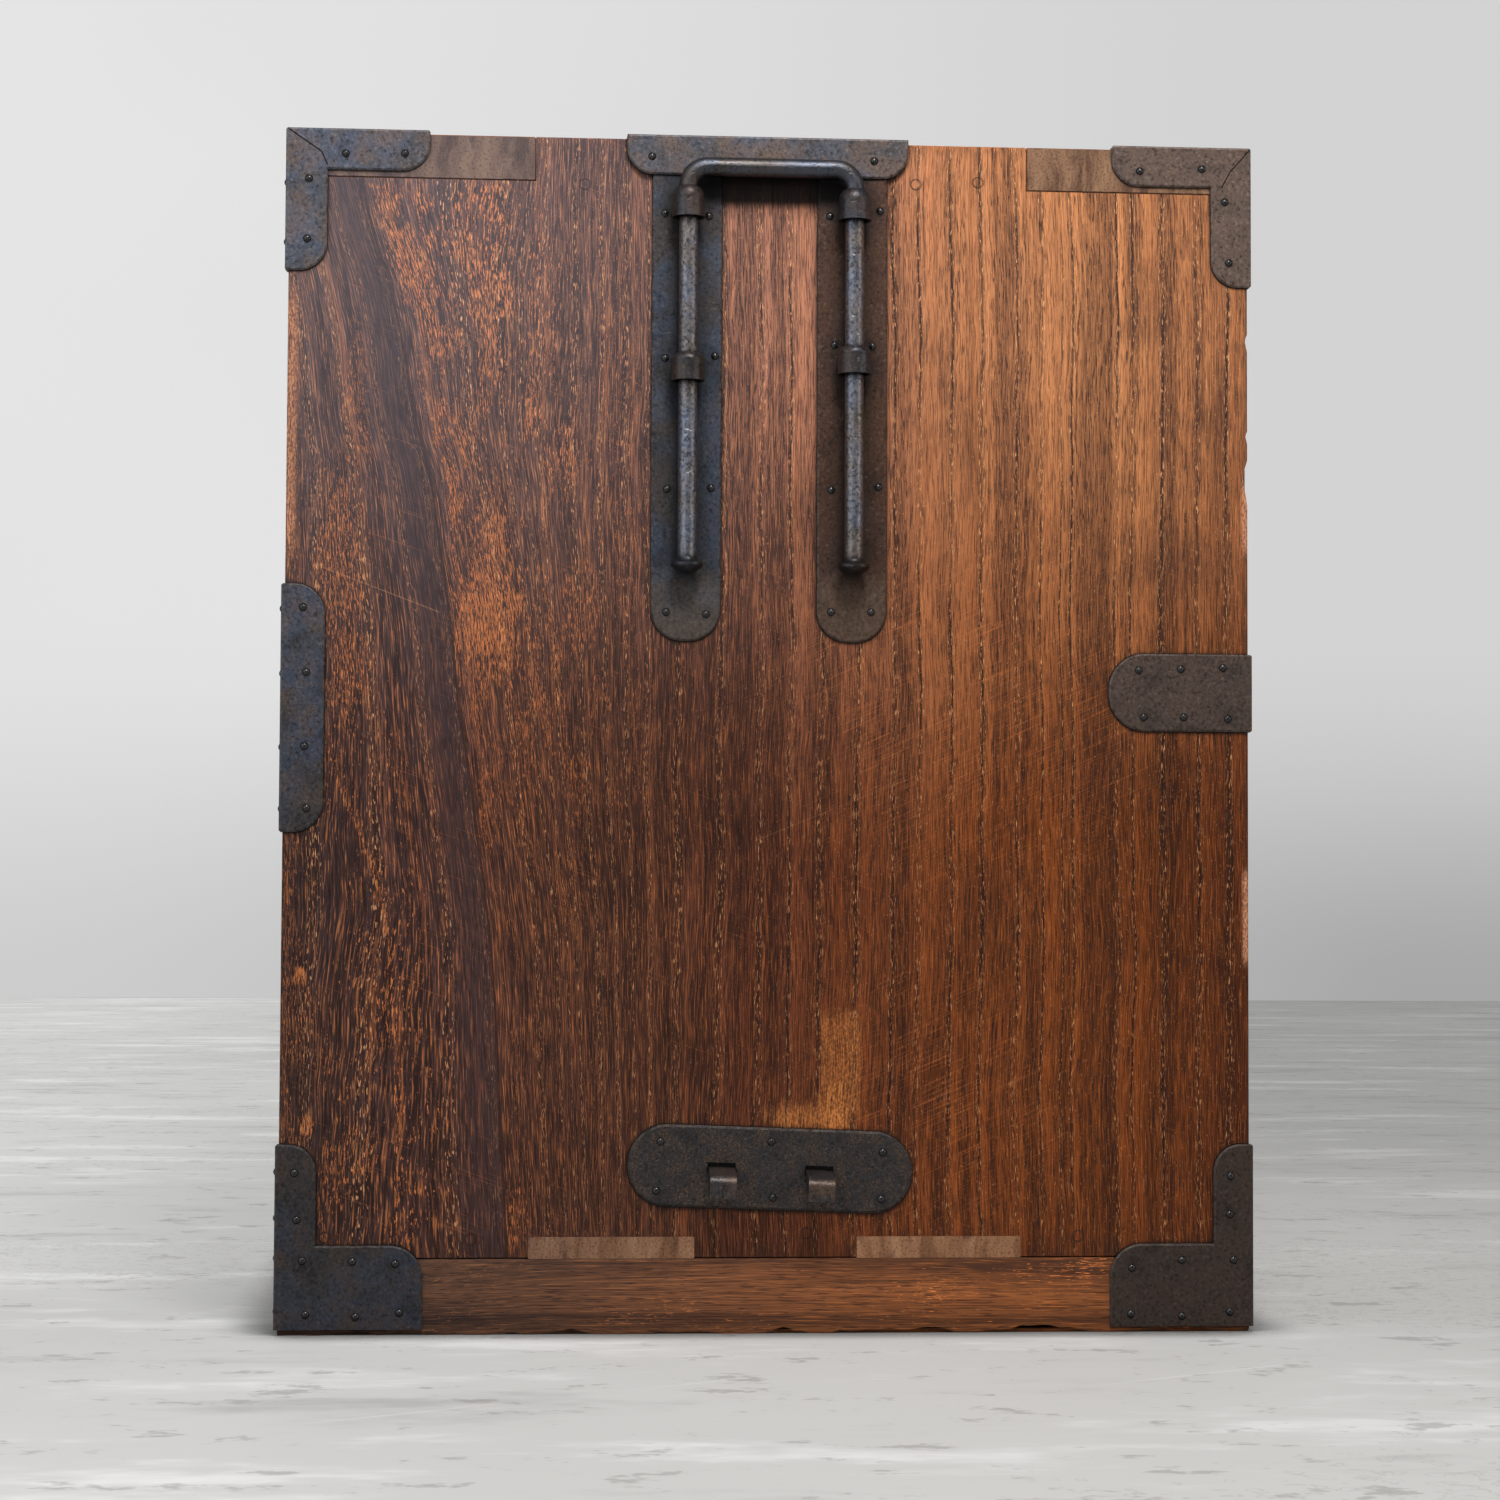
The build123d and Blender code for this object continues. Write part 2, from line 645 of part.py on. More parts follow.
def back_boards():
    """Upright boards let into the rabbets behind the carcass."""
    limit = inner_x + back_rabbet_width
    pitch = 2 * limit / back_board_count
    return [block((-limit + pitch * n + back_board_gap / 2, -limit + pitch * (n + 1) - back_board_gap / 2),
                  (back_y, half_depth), (base_rail_height, bay_ceiling), arris)
            for n in range(back_board_count)]


# ---------------------------------------------------------------- drawers
bolt_y = drawer_face + front_thickness + lock_case_size[1] / 2 - lock_case_wall / 2


def drawer(name, bay_low, bay_high):
    """One drawer with its lock, and the bodies of its two bail handles."""
    wide = inner_x - drawer_side_gap
    low = bay_low + drawer_under_gap
    high = bay_high - drawer_top_gap
    inside = drawer_face + front_thickness
    lap = drawer_face + front_lap
    rear = back_y - drawer_rear_gap
    floor = low + drawer_bottom_thickness
    side_x = wide - drawer_side_thickness
    bail_z = low + (high - low) * bail_height_share
    eye_y = drawer_face - eye_standoff

    front = block((-wide, wide), (drawer_face, inside), (low, high), arris)
    front -= block((-wide, wide), (lap, inside), (low, floor))
    for end in (-1, 1):
        span = sorted((end * side_x, end * wide))
        front -= block(span, (lap, inside), (low, high))
    key_z = high - lock_plate_top_gap - lock_plate_size[1] / 2
    key_bore = Pos(key_x, inside, key_z) * Rot(90, 0, 0) * Cylinder(key_bore_radius, 3 * front_thickness)
    post_places = [side * bail_x + end * bail_span / 2 for side in (-1, 1) for end in (-1, 1)]
    for x in post_places:
        front -= Pos(x, inside, bail_z) * Rot(90, 0, 0) * Cylinder(post_radius + post_clearance, 3 * front_thickness)
    export(f"{name}_drawer_front", front - key_bore)
    side = block((side_x, wide), (lap, rear), (floor, high))
    side = chamfer(edges_along(side, Axis.Y, Z=high), arris)
    export(f"{name}_drawer_side_right", side)
    export(f"{name}_drawer_side_left", other_end(side))
    export(f"{name}_drawer_back", block((-side_x, side_x), (rear - drawer_back_thickness, rear),
                                        (floor, high - drawer_back_drop)))
    export(f"{name}_drawer_bottom", block((-wide, wide), (lap, rear), (low, floor)))

    # lock: plate outside, case and bolt inside
    width, height = lock_plate_size
    outline = Rectangle(width, height)
    outline = fillet(outline.vertices(), lock_plate_round)
    key_shape = Circle(keyhole_radius) + Pos(0, -keyhole_slot[1] / 2) * Rectangle(*keyhole_slot)
    lock_face = Plane(origin=(0, drawer_face, key_z), x_dir=(1, 0, 0), z_dir=(0, -1, 0))
    lock_plate = extrude(outline, plate)
    lock_plate = chamfer(lock_plate.edges().group_by(Axis.Z)[-1], plate_bevel)
    lock_plate -= Pos(key_x, 0) * extrude(key_shape, 2 * plate)
    export(f"{name}_lock_plate", lock_face * lock_plate)
    case_width, case_depth, case_height = lock_case_size
    case_top = high - lock_case_top_gap
    case = block((-case_width / 2, case_width / 2), (inside, inside + case_depth),
                 (case_top - case_height, case_top))
    case -= block((-case_width / 2 + lock_case_wall, case_width / 2 - lock_case_wall),
                  (inside, inside + case_depth - lock_case_wall),
                  (case_top - case_height + lock_case_wall, case_top - lock_case_wall))
    wide_slot = bolt_width / 2 + bolt_play
    thick_slot = bolt_thickness / 2 + bolt_play
    case -= block((-wide_slot, wide_slot), (bolt_y - thick_slot, bolt_y + thick_slot),
                  (case_top - 2 * lock_case_wall, case_top))
    export(f"{name}_lock_case", case)
    bolt = block((-bolt_width / 2, bolt_width / 2), (bolt_y - bolt_thickness / 2, bolt_y + bolt_thickness / 2),
                 (case_top - case_height + lock_case_wall, case_top - bolt_shy))
    export(f"{name}_lock_bolt", bolt)

    # bails, eye posts and roses
    petals = Circle(rose_radius)
    for n in range(rose_lobe_count):
        petals += Rot(0, 0, 360 / rose_lobe_count * n) * Pos(rose_radius - 1, 0) * Circle(rose_lobe_radius)
    rose = extrude(petals, rose_thickness) - Cylinder(post_radius + post_clearance, 4 * rose_thickness)
    eye = Rot(0, 90, 0) * Cylinder(eye_radius, eye_width)
    post_length = eye_standoff + front_thickness + post_clinch
    post = eye + Pos(0, post_length / 2, 0) * Rot(90, 0, 0) * Cylinder(post_radius, post_length)
    post -= Rot(0, 90, 0) * Cylinder(bail_radius + pin_clearance, 2 * eye_width)
    drawer_plane = Plane(origin=(0, drawer_face, bail_z), x_dir=(1, 0, 0), z_dir=(0, -1, 0))
    export(f"{name}_bail_roses", *[drawer_plane * Pos(x, 0) * rose for x in post_places])
    export(f"{name}_bail_posts", *[Pos(x, eye_y, bail_z) * post for x in post_places])
    for side_name, side_sign in (("right", 1), ("left", -1)):
        export(f"{name}_bail_{side_name}", Pos(side_sign * bail_x, eye_y, bail_z) * bail())


def bail():
    """A drop handle: its turned-in ends are the pins that swing in the eye posts."""
    knob_x = bail_span / 2 - eye_width / 2 - bail_end_play - bail_knob_radius
    arm_x = bail_span / 2 + eye_width / 2 + bail_end_play + bail_shoulder
    path = FilletPolyline((-knob_x, 0, 0), (-arm_x, 0, 0), (-arm_x, 0, -bail_drop), (arm_x, 0, -bail_drop),
                          (arm_x, 0, 0), (knob_x, 0, 0),
                          radius=[bail_shoulder, bail_corner, bail_corner, bail_shoulder])
    whole = sweep(Plane(origin=(-knob_x, 0, 0), z_dir=(-1, 0, 0)) * Circle(bail_radius), path=path)
    for end in (-1, 1):
        whole += Pos(end * knob_x, 0, 0) * Sphere(bail_knob_radius)
    return whole


# ---------------------------------------------------------------- write the nodes
panel = side_panel()
export("side_panel_right", panel)
export("side_panel_left", other_end(panel))
export("top_board", top_board())
export("bottom_board", bottom_board())
rail_end = half_width - base_rail_thickness
side_rail = block((rail_end, half_width), (-half_depth, half_depth), (0, base_rail_height), arris)
export("base_rail_right", side_rail)
export("base_rail_left", other_end(side_rail))
cross_rail = block((-rail_end, rail_end), (-half_depth, -half_depth + base_rail_thickness),
                   (0, base_rail_height), arris)
export("base_cross_rails", cross_rail, front_to_back(cross_rail))
export("divider_rail", divider_rail())
export("dust_board", block((-inner_x - housing_depth, inner_x + housing_depth),
                           (-half_depth + divider_depth, back_y),
                           (divider_high - dust_board_thickness, divider_high)))
export("back_boards", *back_boards())
export("carcass_pegs", *both_ends(pegs()))
drawer("upper", divider_high, bay_ceiling)
drawer("lower", bay_floor, divider_low)

all_nails = []
fitting, nails = top_fitting(top_front_nails, ((-plate, -plate), (14.0, 9.0), (top_arm_width, seam_run)))
export("top_front_fitting_right", fitting)
export("top_front_fitting_left", other_end(fitting))
all_nails += nails
fitting, nails = top_fitting(top_back_nails, ((-plate, -plate), (8.0, 9.5), (12.0, top_arm_width)))
fitting = front_to_back(fitting)
export("top_back_fitting_right", fitting)
export("top_back_fitting_left", other_end(fitting))
all_nails += [front_to_back(one) for one in nails]
fitting, nails = foot_fitting(foot_front_nails)
export("foot_front_fitting_right", fitting)
export("foot_front_fitting_left", other_end(fitting))
all_nails += nails
fitting, nails = foot_fitting(foot_back_nails)
fitting = front_to_back(fitting)
export("foot_back_fitting_right", fitting)
export("foot_back_fitting_left", other_end(fitting))
all_nails += [front_to_back(one) for one in nails]
for node, (strap, nails) in (("front_strap", front_strap()), ("back_strap", back_strap())):
    export(f"{node}_right", strap)
    export(f"{node}_left", other_end(strap))
    all_nails += nails

strips, nails = handle_strips()
for slot in stem_slots((half_width, half_width + plate)):
    strips = [strip - slot for strip in strips]
export("handle_strips_right", *strips)
export("handle_strips_left", *[other_end(one) for one in strips])
all_nails += nails
cross, nails = cross_plate()
export("handle_cross_plate_right", cross)
export("handle_cross_plate_left", other_end(cross))
all_nails += nails
collars = handle_collars()
export("handle_collars_right", *collars)
export("handle_collars_left", *[other_end(one) for one in collars])
handle = carry_handle()
export("carry_handle_right", handle)
export("carry_handle_left", other_end(handle))
hook_base, nails = hook_plate()
export("hook_plate_right", hook_base)
export("hook_plate_left", other_end(hook_base))
all_nails += nails
export("hooks_right", *hooks())
export("hooks_left", *[other_end(one) for one in hooks()])
export("fitting_nails", *both_ends(all_nails))
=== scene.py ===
"""Dresses the isho clothing chest: worn lacquered wood, forged iron, and a plain pale studio."""

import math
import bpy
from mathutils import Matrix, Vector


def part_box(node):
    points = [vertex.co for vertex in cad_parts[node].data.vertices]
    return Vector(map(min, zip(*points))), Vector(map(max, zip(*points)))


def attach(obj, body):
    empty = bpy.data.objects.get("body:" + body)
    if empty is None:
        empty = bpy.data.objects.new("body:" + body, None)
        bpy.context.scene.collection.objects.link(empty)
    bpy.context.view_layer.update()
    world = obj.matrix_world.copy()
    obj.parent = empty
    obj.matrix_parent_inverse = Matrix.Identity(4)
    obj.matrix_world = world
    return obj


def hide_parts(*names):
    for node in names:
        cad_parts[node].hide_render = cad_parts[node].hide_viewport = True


bl_info = {
    "name": "Isho clothing chest",
    "version": (1, 0, 0),
    "blender": (4, 5, 0),
    "location": "3D View > Sidebar > Chest",
    "description": "Finishes a two-drawer clothing chest in worn lacquered wood and forged iron",
    "category": "Object",
}

import bpy
from bpy.props import FloatProperty, FloatVectorProperty, PointerProperty
from mathutils import Matrix, Vector

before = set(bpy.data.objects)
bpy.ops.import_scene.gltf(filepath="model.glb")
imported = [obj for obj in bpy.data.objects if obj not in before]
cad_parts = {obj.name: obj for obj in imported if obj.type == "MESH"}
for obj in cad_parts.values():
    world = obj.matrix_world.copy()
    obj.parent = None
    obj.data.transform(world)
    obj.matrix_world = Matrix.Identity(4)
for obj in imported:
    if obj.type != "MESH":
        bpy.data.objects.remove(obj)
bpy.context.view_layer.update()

SIDES = ("right", "left")
DRAWERS = ("upper", "lower")
FRONT_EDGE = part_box("side_panel_right")[0][1]
LACQUER_SHEEN = 0.15
# The carrying handle's middle, as a distance from the front edge.
HANDLE_MIDDLE = 0.2155
# Where the chest's ends begin, as distances from its middle.
END_FACE = (0.4540, 0.4544)
# Chips along the base rails' lower edge: where the mesh is cut for them, how far in they reach, how
# deep they are, and how often the rail is divided along its length.
CHIP_BAND = 0.0020
CHIP_REACH = 0.0016
CHIP_DEPTH = 0.0030
CHIP_STEPS = 100
# How far the lock plates' nails stay from the plate's edge, and from its corners.
NAIL_MARGIN = 0.0065
NAIL_CORNER = 0.006
# The studio: where the floor's middle is, the width of floor and backdrop, the backdrop's height, and
# the point that the lamps look at.
FLOOR_MIDDLE = 4.0
STUDIO_WIDTH = 24.0
WALL_HEIGHT = 6.0
LAMP_AIM = Vector((0.45, 0.0, 0.28))


# ------------------------------------------------------------------ colours and settings
def tint(red, green, blue):
    """A colour from a paint chart, 0 to 255, as the linear value that a shader takes."""
    def linear(value):
        share = value / 255
        return share / 12.92 if share <= 0.04045 else ((share + 0.055) / 1.055) ** 2.4
    return (linear(red), linear(green), linear(blue), 1.0)


def colour_setting(name, description, chart):
    """A colour that can be changed in the sidebar."""
    return FloatVectorProperty(name=name, description=description, subtype="COLOR", size=4,
                               min=0.0, max=1.0, default=tint(*chart))


def setting(name, description, default, **limits):
    """A number that can be changed in the sidebar."""
    return FloatProperty(name=name, description=description, default=default, **limits)


class ChestWoodSettings(bpy.types.PropertyGroup):
    """Colours and gloss of the wood."""
    bare: colour_setting("Bare wood", "Wood where the lacquer has worn away", (204, 124, 70))
    fleck: colour_setting("Flecks", "Pale specks in the open pores", (224, 166, 116))
    pore: colour_setting("Pores", "Lacquer gathered in pores and growth lines", (46, 26, 20))
    end_grain: colour_setting("End grain", "Ends of the boards that come through the sides", (116, 88, 70))
    inside: colour_setting("Inside wood", "Plain wood of the drawers and the back", (176, 140, 102))
    pale: colour_setting("Pale fibres", "Lightest fibres of the worn wood", (222, 152, 98))
    # sheen: the colour of a painted reflection of the cool window light, laid on the front part of the ends
    sheen: colour_setting("Sheen", "Grey bloom on the old lacquer", (168, 172, 190))
    front: colour_setting("Drawer fronts", "Lacquered figured wood of the front", (112, 62, 38))
    roughness: setting("Lacquer roughness", "Gloss of the worn lacquer", 0.46, min=0.0, max=1.0)


class ChestIronSettings(bpy.types.PropertyGroup):
    """Colours and gloss of the iron, and the size of the lock plates' nails."""
    black: colour_setting("Black iron", "Blackened iron", (74, 71, 74))
    blue: colour_setting("Blue scale", "Blue-grey forge scale", (74, 89, 113))
    rust: colour_setting("Rust", "Old brown rust", (106, 83, 68))
    worn: colour_setting("Worn iron", "Iron rubbed bright by use", (154, 147, 140))
    roughness: setting("Iron roughness", "Gloss of the iron", 0.5, min=0.0, max=1.0)
    nail_radius: setting("Nail head radius", "Radius of the lock plates' nail heads", 0.0024,
                         unit="LENGTH", min=0.001, max=0.004)


class ChestStudioSettings(bpy.types.PropertyGroup):
    """Camera, lamps, floor and backdrop."""
    camera_place: FloatVectorProperty(name="Camera place", description="Where the camera stands",
                                      subtype="TRANSLATION", unit="LENGTH",
                                      default=(2.0011, -0.12855, 0.1813))
    camera_yaw: setting("Camera yaw", "Turn towards the back of the chest", math.radians(4.542),
                        subtype="ANGLE")
    camera_pitch: setting("Camera pitch", "Tilt upwards", math.radians(2.803), subtype="ANGLE")
    camera_roll: setting("Camera roll", "Turn about the line of sight", math.radians(-0.265), subtype="ANGLE")
    lens: setting("Lens", "Focal length in millimetres", 84.0)
    floor: colour_setting("Floor", "Pale worn concrete", (168, 168, 167))
    wall: colour_setting("Backdrop", "Plain backdrop", (231, 231, 231))
    wall_place: setting("Backdrop place", "How far behind the chest the backdrop is", -6.15, unit="LENGTH")
    key_power: setting("Window light", "Cool light from the front side", 29.0, subtype="POWER")
    fill_power: setting("Warm light", "Warm light from the back side", 17.0, subtype="POWER")
    top_power: setting("Top light", "Light from above", 20.0, subtype="POWER")
    ambient: setting("Ambient light", "Light from all round", 0.20)


# ------------------------------------------------------------------ shader building
class Shader:
    """One material, built a node at a time.

    Calls that work out a pattern or a mask return the socket to use next; lay and spread paint over
    the colour so far.
    """

    def __init__(self, name):
        self.material = bpy.data.materials.new(name)
        self.material.use_nodes = True
        self.nodes = self.material.node_tree.nodes
        self.links = self.material.node_tree.links
        self.nodes.clear()
        self.place = self.node("TexCoord").outputs["Object"]
        self.x, along_y, self.z = self.node("SeparateXYZ", self.place).outputs
        self.y = self.less(along_y, FRONT_EDGE)
        self.colour = None

    def node(self, kind, *values, **settings):
        """A new node; the values go to its inputs in order, and None leaves an input as it is."""
        node = self.nodes.new(f"ShaderNode{kind}")
        for name, choice in settings.items():
            setattr(node, name, choice)
        for socket, value in zip(node.inputs, values):
            self.feed(socket, value)
        return node

    def feed(self, socket, value):
        """Links a socket, or sets its value."""
        if isinstance(value, bpy.types.NodeSocket):
            self.links.new(value, socket)
        elif value is not None:
            socket.default_value = value

    def feed_named(self, node, **values):
        """Feeds inputs by their names, with _ for a space, and returns the node."""
        for name, value in values.items():
            self.feed(node.inputs[name.replace("_", " ")], value)
        return node

    def math(self, operation, first, second=None):
        return self.node("Math", first, second, operation=operation).outputs[0]

    def add(self, first, second):
        return self.math("ADD", first, second)

    def less(self, first, second):
        return self.math("SUBTRACT", first, second)

    def times(self, product, *others):
        for other in others:
            product = self.math("MULTIPLY", product, other)
        return product

    def most(self, largest, *others):
        for other in others:
            largest = self.math("MAXIMUM", largest, other)
        return largest

    def off(self, value, centre):
        """How far a value is from a centre, either way."""
        return self.math("ABSOLUTE", self.less(value, centre))

    def length(self, across, up):
        return self.math("SQRT", self.add(self.times(across, across), self.times(up, up)))

    def point(self, x, y, z):
        return self.node("CombineXYZ", x, y, z).outputs[0]

    def stretch(self, vector, factors):
        return self.node("VectorMath", vector, factors, operation="MULTIPLY").outputs[0]

    def turned(self, vector, angles, factors):
        """A pattern's place, turned and then stretched."""
        turn = self.node("Mapping", vector, None, angles, vector_type="TEXTURE")
        return self.stretch(turn.outputs[0], factors)

    def noise(self, vector, factors=None, detail=2.0, roughness=0.5):
        """Smooth noise, as fine along each axis as the factors say; one number serves for all three."""
        if factors:
            vector = self.stretch(vector, (factors,) * 3 if isinstance(factors, (int, float)) else factors)
        texture = self.node("TexNoise", vector)
        return self.feed_named(texture, Scale=1.0, Detail=detail, Roughness=roughness).outputs[0]

    def cells(self, vector, scale, feature="F1"):
        texture = self.node("TexVoronoi", vector, feature=feature)
        return self.feed_named(texture, Scale=scale).outputs["Distance"]

    def between(self, value, low, high, first=0.0, last=1.0):
        """A smooth rise from first to last while value goes from low to high."""
        rise = self.node("MapRange", value, low, high, first, last, interpolation_type="SMOOTHSTEP")
        return rise.outputs[0]

    def straight(self, value, low, high, first=0.0, last=1.0, clamp=True):
        """A straight rise from first to last while value goes from low to high."""
        return self.node("MapRange", value, low, high, first, last, clamp=clamp).outputs[0]

    def within(self, value, start, full, fade, end):
        """0 before start, 1 from full to fade, and 0 after end."""
        return self.times(self.between(value, start, full), self.between(value, end, fade))

    def across_ramp(self, value, low, high, stops):
        """Colours laid out along a value: stops are pairs of place and colour."""
        node = self.node("ValToRGB", self.straight(value, low, high))
        points = node.color_ramp.elements
        while len(points) < len(stops):
            points.new(0.5)
        for element, (place, colour) in zip(points, stops):
            element.position = (place - low) / (high - low)
            element.color = colour
        return node.outputs[0]

    def curve(self, value, points, low, high):
        """A smooth curve through points of (value, result); results keep to low and high."""
        ordered = sorted(points)
        first, last = ordered[0][0], ordered[-1][0]
        node = self.feed_named(self.node("FloatCurve"), Value=self.straight(value, first, last))
        line = node.mapping.curves[0]
        spots = [((place - first) / (last - first), (result - low) / (high - low))
                 for place, result in ordered]
        for spot in spots[1:-1]:
            line.points.new(*spot)
        line.points[0].location, line.points[-1].location = spots[0], spots[-1]
        for one in line.points:
            one.handle_type = "AUTO"
        node.mapping.update()
        return self.straight(node.outputs[0], 0.0, 1.0, low, high, clamp=False)

    def mix(self, factor, first, second, blend="MIX"):
        node = self.node("Mix", data_type="RGBA", blend_type=blend)
        for number, value in ((0, factor), (6, first), (7, second)):
            self.feed(node.inputs[number], value)
        return node.outputs[2]

    def lay(self, tone, *masks):
        """Lays a tone over the colour so far, as far as all the masks say."""
        self.colour = self.mix(self.times(*masks), self.colour, tone)

    def spread(self, tone, pattern, low, high, share=1.0, *masks):
        """Lays up to a share of a tone over the colour so far while a pattern goes from low to high."""
        self.lay(tone, self.between(pattern, low, high, 0.0, share), *masks)

    def bump(self, height, distance, strength):
        node = self.feed_named(self.node("Bump"), Strength=strength, Distance=distance, Height=height)
        return node.outputs[0]

    def finish(self, roughness, normal=None, metallic=0.0, specular=0.5, seen_light=0.0):
        """Joins everything to the surface, and returns the material.

        seen_light is the share of its own colour that a backdrop shows to the camera and in
        reflections, whatever light falls on it; the rest of what it shows is the light on it.
        """
        skin = self.feed_named(self.node("BsdfPrincipled"), Base_Color=self.colour, Roughness=roughness,
                               Normal=normal, Metallic=metallic, Specular_IOR_Level=specular)
        surface = skin.outputs[0]
        if seen_light:
            rays = self.node("LightPath").outputs
            seen = self.add(rays["Is Camera Ray"], rays["Is Glossy Ray"])
            seen = self.math("MINIMUM", self.add(seen, rays["Is Transmission Ray"]), 1.0)
            glow = self.feed_named(self.node("Emission"), Color=self.colour,
                                   Strength=self.times(seen, seen_light))
            if seen_light != 1.0:
                both = self.node("AddShader")
            else:
                both = self.node("MixShader", seen)
            self.links.new(surface, both.inputs[-2])
            self.links.new(glow.outputs[0], both.inputs[-1])
            surface = both.outputs[0]
        self.node("OutputMaterial", surface)
        return self.material

    def painted_foot_shade(self, colour, cloud):
        """Paints shade on a colour towards the foot of the chest: darker and redder there, most of all in the
        middle.
        """
        height = self.add(self.z, self.times(self.less(cloud, 0.5), 0.16))
        stops = ((0.000, (0.44, 0.45, 0.49)), (0.080, (0.68, 0.57, 0.53)), (0.140, (0.53, 0.455, 0.40)),
                 (0.205, (0.245, 0.160, 0.108)), (0.300, (0.35, 0.225, 0.105)), (0.430, (0.28, 0.17, 0.07)))
        shade = self.across_ramp(self.y, 0.0, 0.43, [(place, (*tone, 1.0)) for place, tone in stops])
        shaded = self.mix(1.0, colour, shade, "MULTIPLY")
        return self.mix(self.between(height, 0.22, 0.465), shaded, colour)

    def grime_and_shade(self, reach, strength=1.0, open_share=0.93, closed_share=0.55):
        """Dark where surfaces meet, as a share to mix in: painted shade in corners and under parts, with some
        dirt gathered there.
        """
        node = self.feed_named(self.node("AmbientOcclusion", samples=6), Distance=reach)
        return self.between(node.outputs["AO"], open_share, closed_share, 0.0, strength)

    def edge_wear_and_highlight(self):
        """1 on the narrow bevels between flat faces."""
        facing = self.node("SeparateXYZ", self.node("NewGeometry").outputs["True Normal"]).outputs
        sizes = [self.math("ABSOLUTE", part) for part in facing]
        return self.between(self.most(sizes[0], self.most(*sizes[1:])), 0.96, 0.88)

    def bar_shadow(self):
        """1 behind and just below the carrying handle's bar, where its shadow falls: the mask of a painted
        shadow.
        """
        aside = self.between(self.off(self.y, HANDLE_MIDDLE), 0.0320, 0.0285)
        return self.times(self.within(self.z, 0.4985, 0.5035, 0.5150, 0.5185), aside)

    def ring(self, centre, radius, width):
        """1 on a thin circle on the end of the chest."""
        away = self.length(self.less(self.y, centre[0]), self.less(self.z, centre[1]))
        return self.between(self.off(away, radius), width, width * 0.3)

    def oval(self, centre, half, soft=0.35, ragged=None):
        """1 inside an oval on the end of the chest, given by its place in Y and Z, falling to 0 outside."""
        away = self.length(*(self.math("DIVIDE", self.less(value, middle), size)
                             for value, middle, size in zip((self.y, self.z), centre, half)))
        if ragged is not None:
            away = self.add(away, ragged)
        return self.between(away, 1.0 + soft, 1.0 - soft)

    def block_patch(self, across, up, ragged):
        """1 inside a block on the end of the chest, between limits in Y and in Z."""
        place = self.add(self.y, ragged)
        inside = self.within(place, across[0], across[0] + 0.001, across[1] - 0.001, across[1])
        return self.times(inside, self.within(self.z, up[0], up[0] + 0.012, up[1] - 0.012, up[1]))

    def stroke(self, start, end, width):
        """1 along a straight line on the end of the chest."""
        run = (end[0] - start[0], end[1] - start[1])
        size = run[0] ** 2 + run[1] ** 2
        dy = self.less(self.y, start[0])
        dz = self.less(self.z, start[1])
        share = self.math("DIVIDE", self.add(self.times(dy, run[0]), self.times(dz, run[1])), size)
        share = self.math("MINIMUM", self.most(share, 0.0), 1.0)
        away = self.length(self.less(dy, self.times(share, run[0])), self.less(dz, self.times(share, run[1])))
        return self.between(away, width, width * 0.3)

    def shaken(self, amount):
        """The place, shaken a little so that cells lose their straight sides."""
        texture = self.feed_named(self.node("TexNoise", self.place), Scale=90.0)
        shift = self.node("VectorMath", texture.outputs["Color"], (amount, amount, amount), self.place,
                          operation="MULTIPLY_ADD")
        return shift.outputs[0]


def assign(material, *names):
    """Gives CAD nodes their finish."""
    for name in names:
        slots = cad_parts[name].data.materials
        slots.clear()
        slots.append(material)


def both_ends(*names):
    """The same pieces at the right and at the left end."""
    return [f"{name}_{side}" for name in names for side in SIDES]


# ------------------------------------------------------------------ wood
# Places on the ends, in metres: (height from the floor, distance from the front edge).
FIGURE_EDGE = ((0.515, 0.0289), (0.482, 0.0380), (0.460, 0.0448), (0.433, 0.0509), (0.402, 0.0564),
               (0.376, 0.0632), (0.349, 0.0670), (0.322, 0.0712), (0.287, 0.0750), (0.234, 0.0829),
               (0.208, 0.0867), (0.173, 0.0913), (0.100, 0.0969), (0.030, 0.1009))
LOWER_EDGE = ((0.300, 0.0028), (0.269, 0.0150), (0.256, 0.0192), (0.234, 0.0272), (0.207, 0.0384),
              (0.188, 0.0438), (0.164, 0.0475), (0.111, 0.0511), (0.030, 0.0518))
# Growth lines, as distances from the front edge.
GROWTH_LINES = (-0.020, 0.013, 0.031, 0.049, 0.062, 0.088, 0.100, 0.1068, 0.1134, 0.1265, 0.1384, 0.149,
                0.159, 0.173, 0.192, 0.2097, 0.223, 0.2365, 0.253, 0.2693, 0.2806, 0.2950, 0.3085,
                0.3243, 0.3356, 0.3447, 0.3492, 0.3696, 0.3765, 0.3901, 0.4061, 0.4197, 0.440)
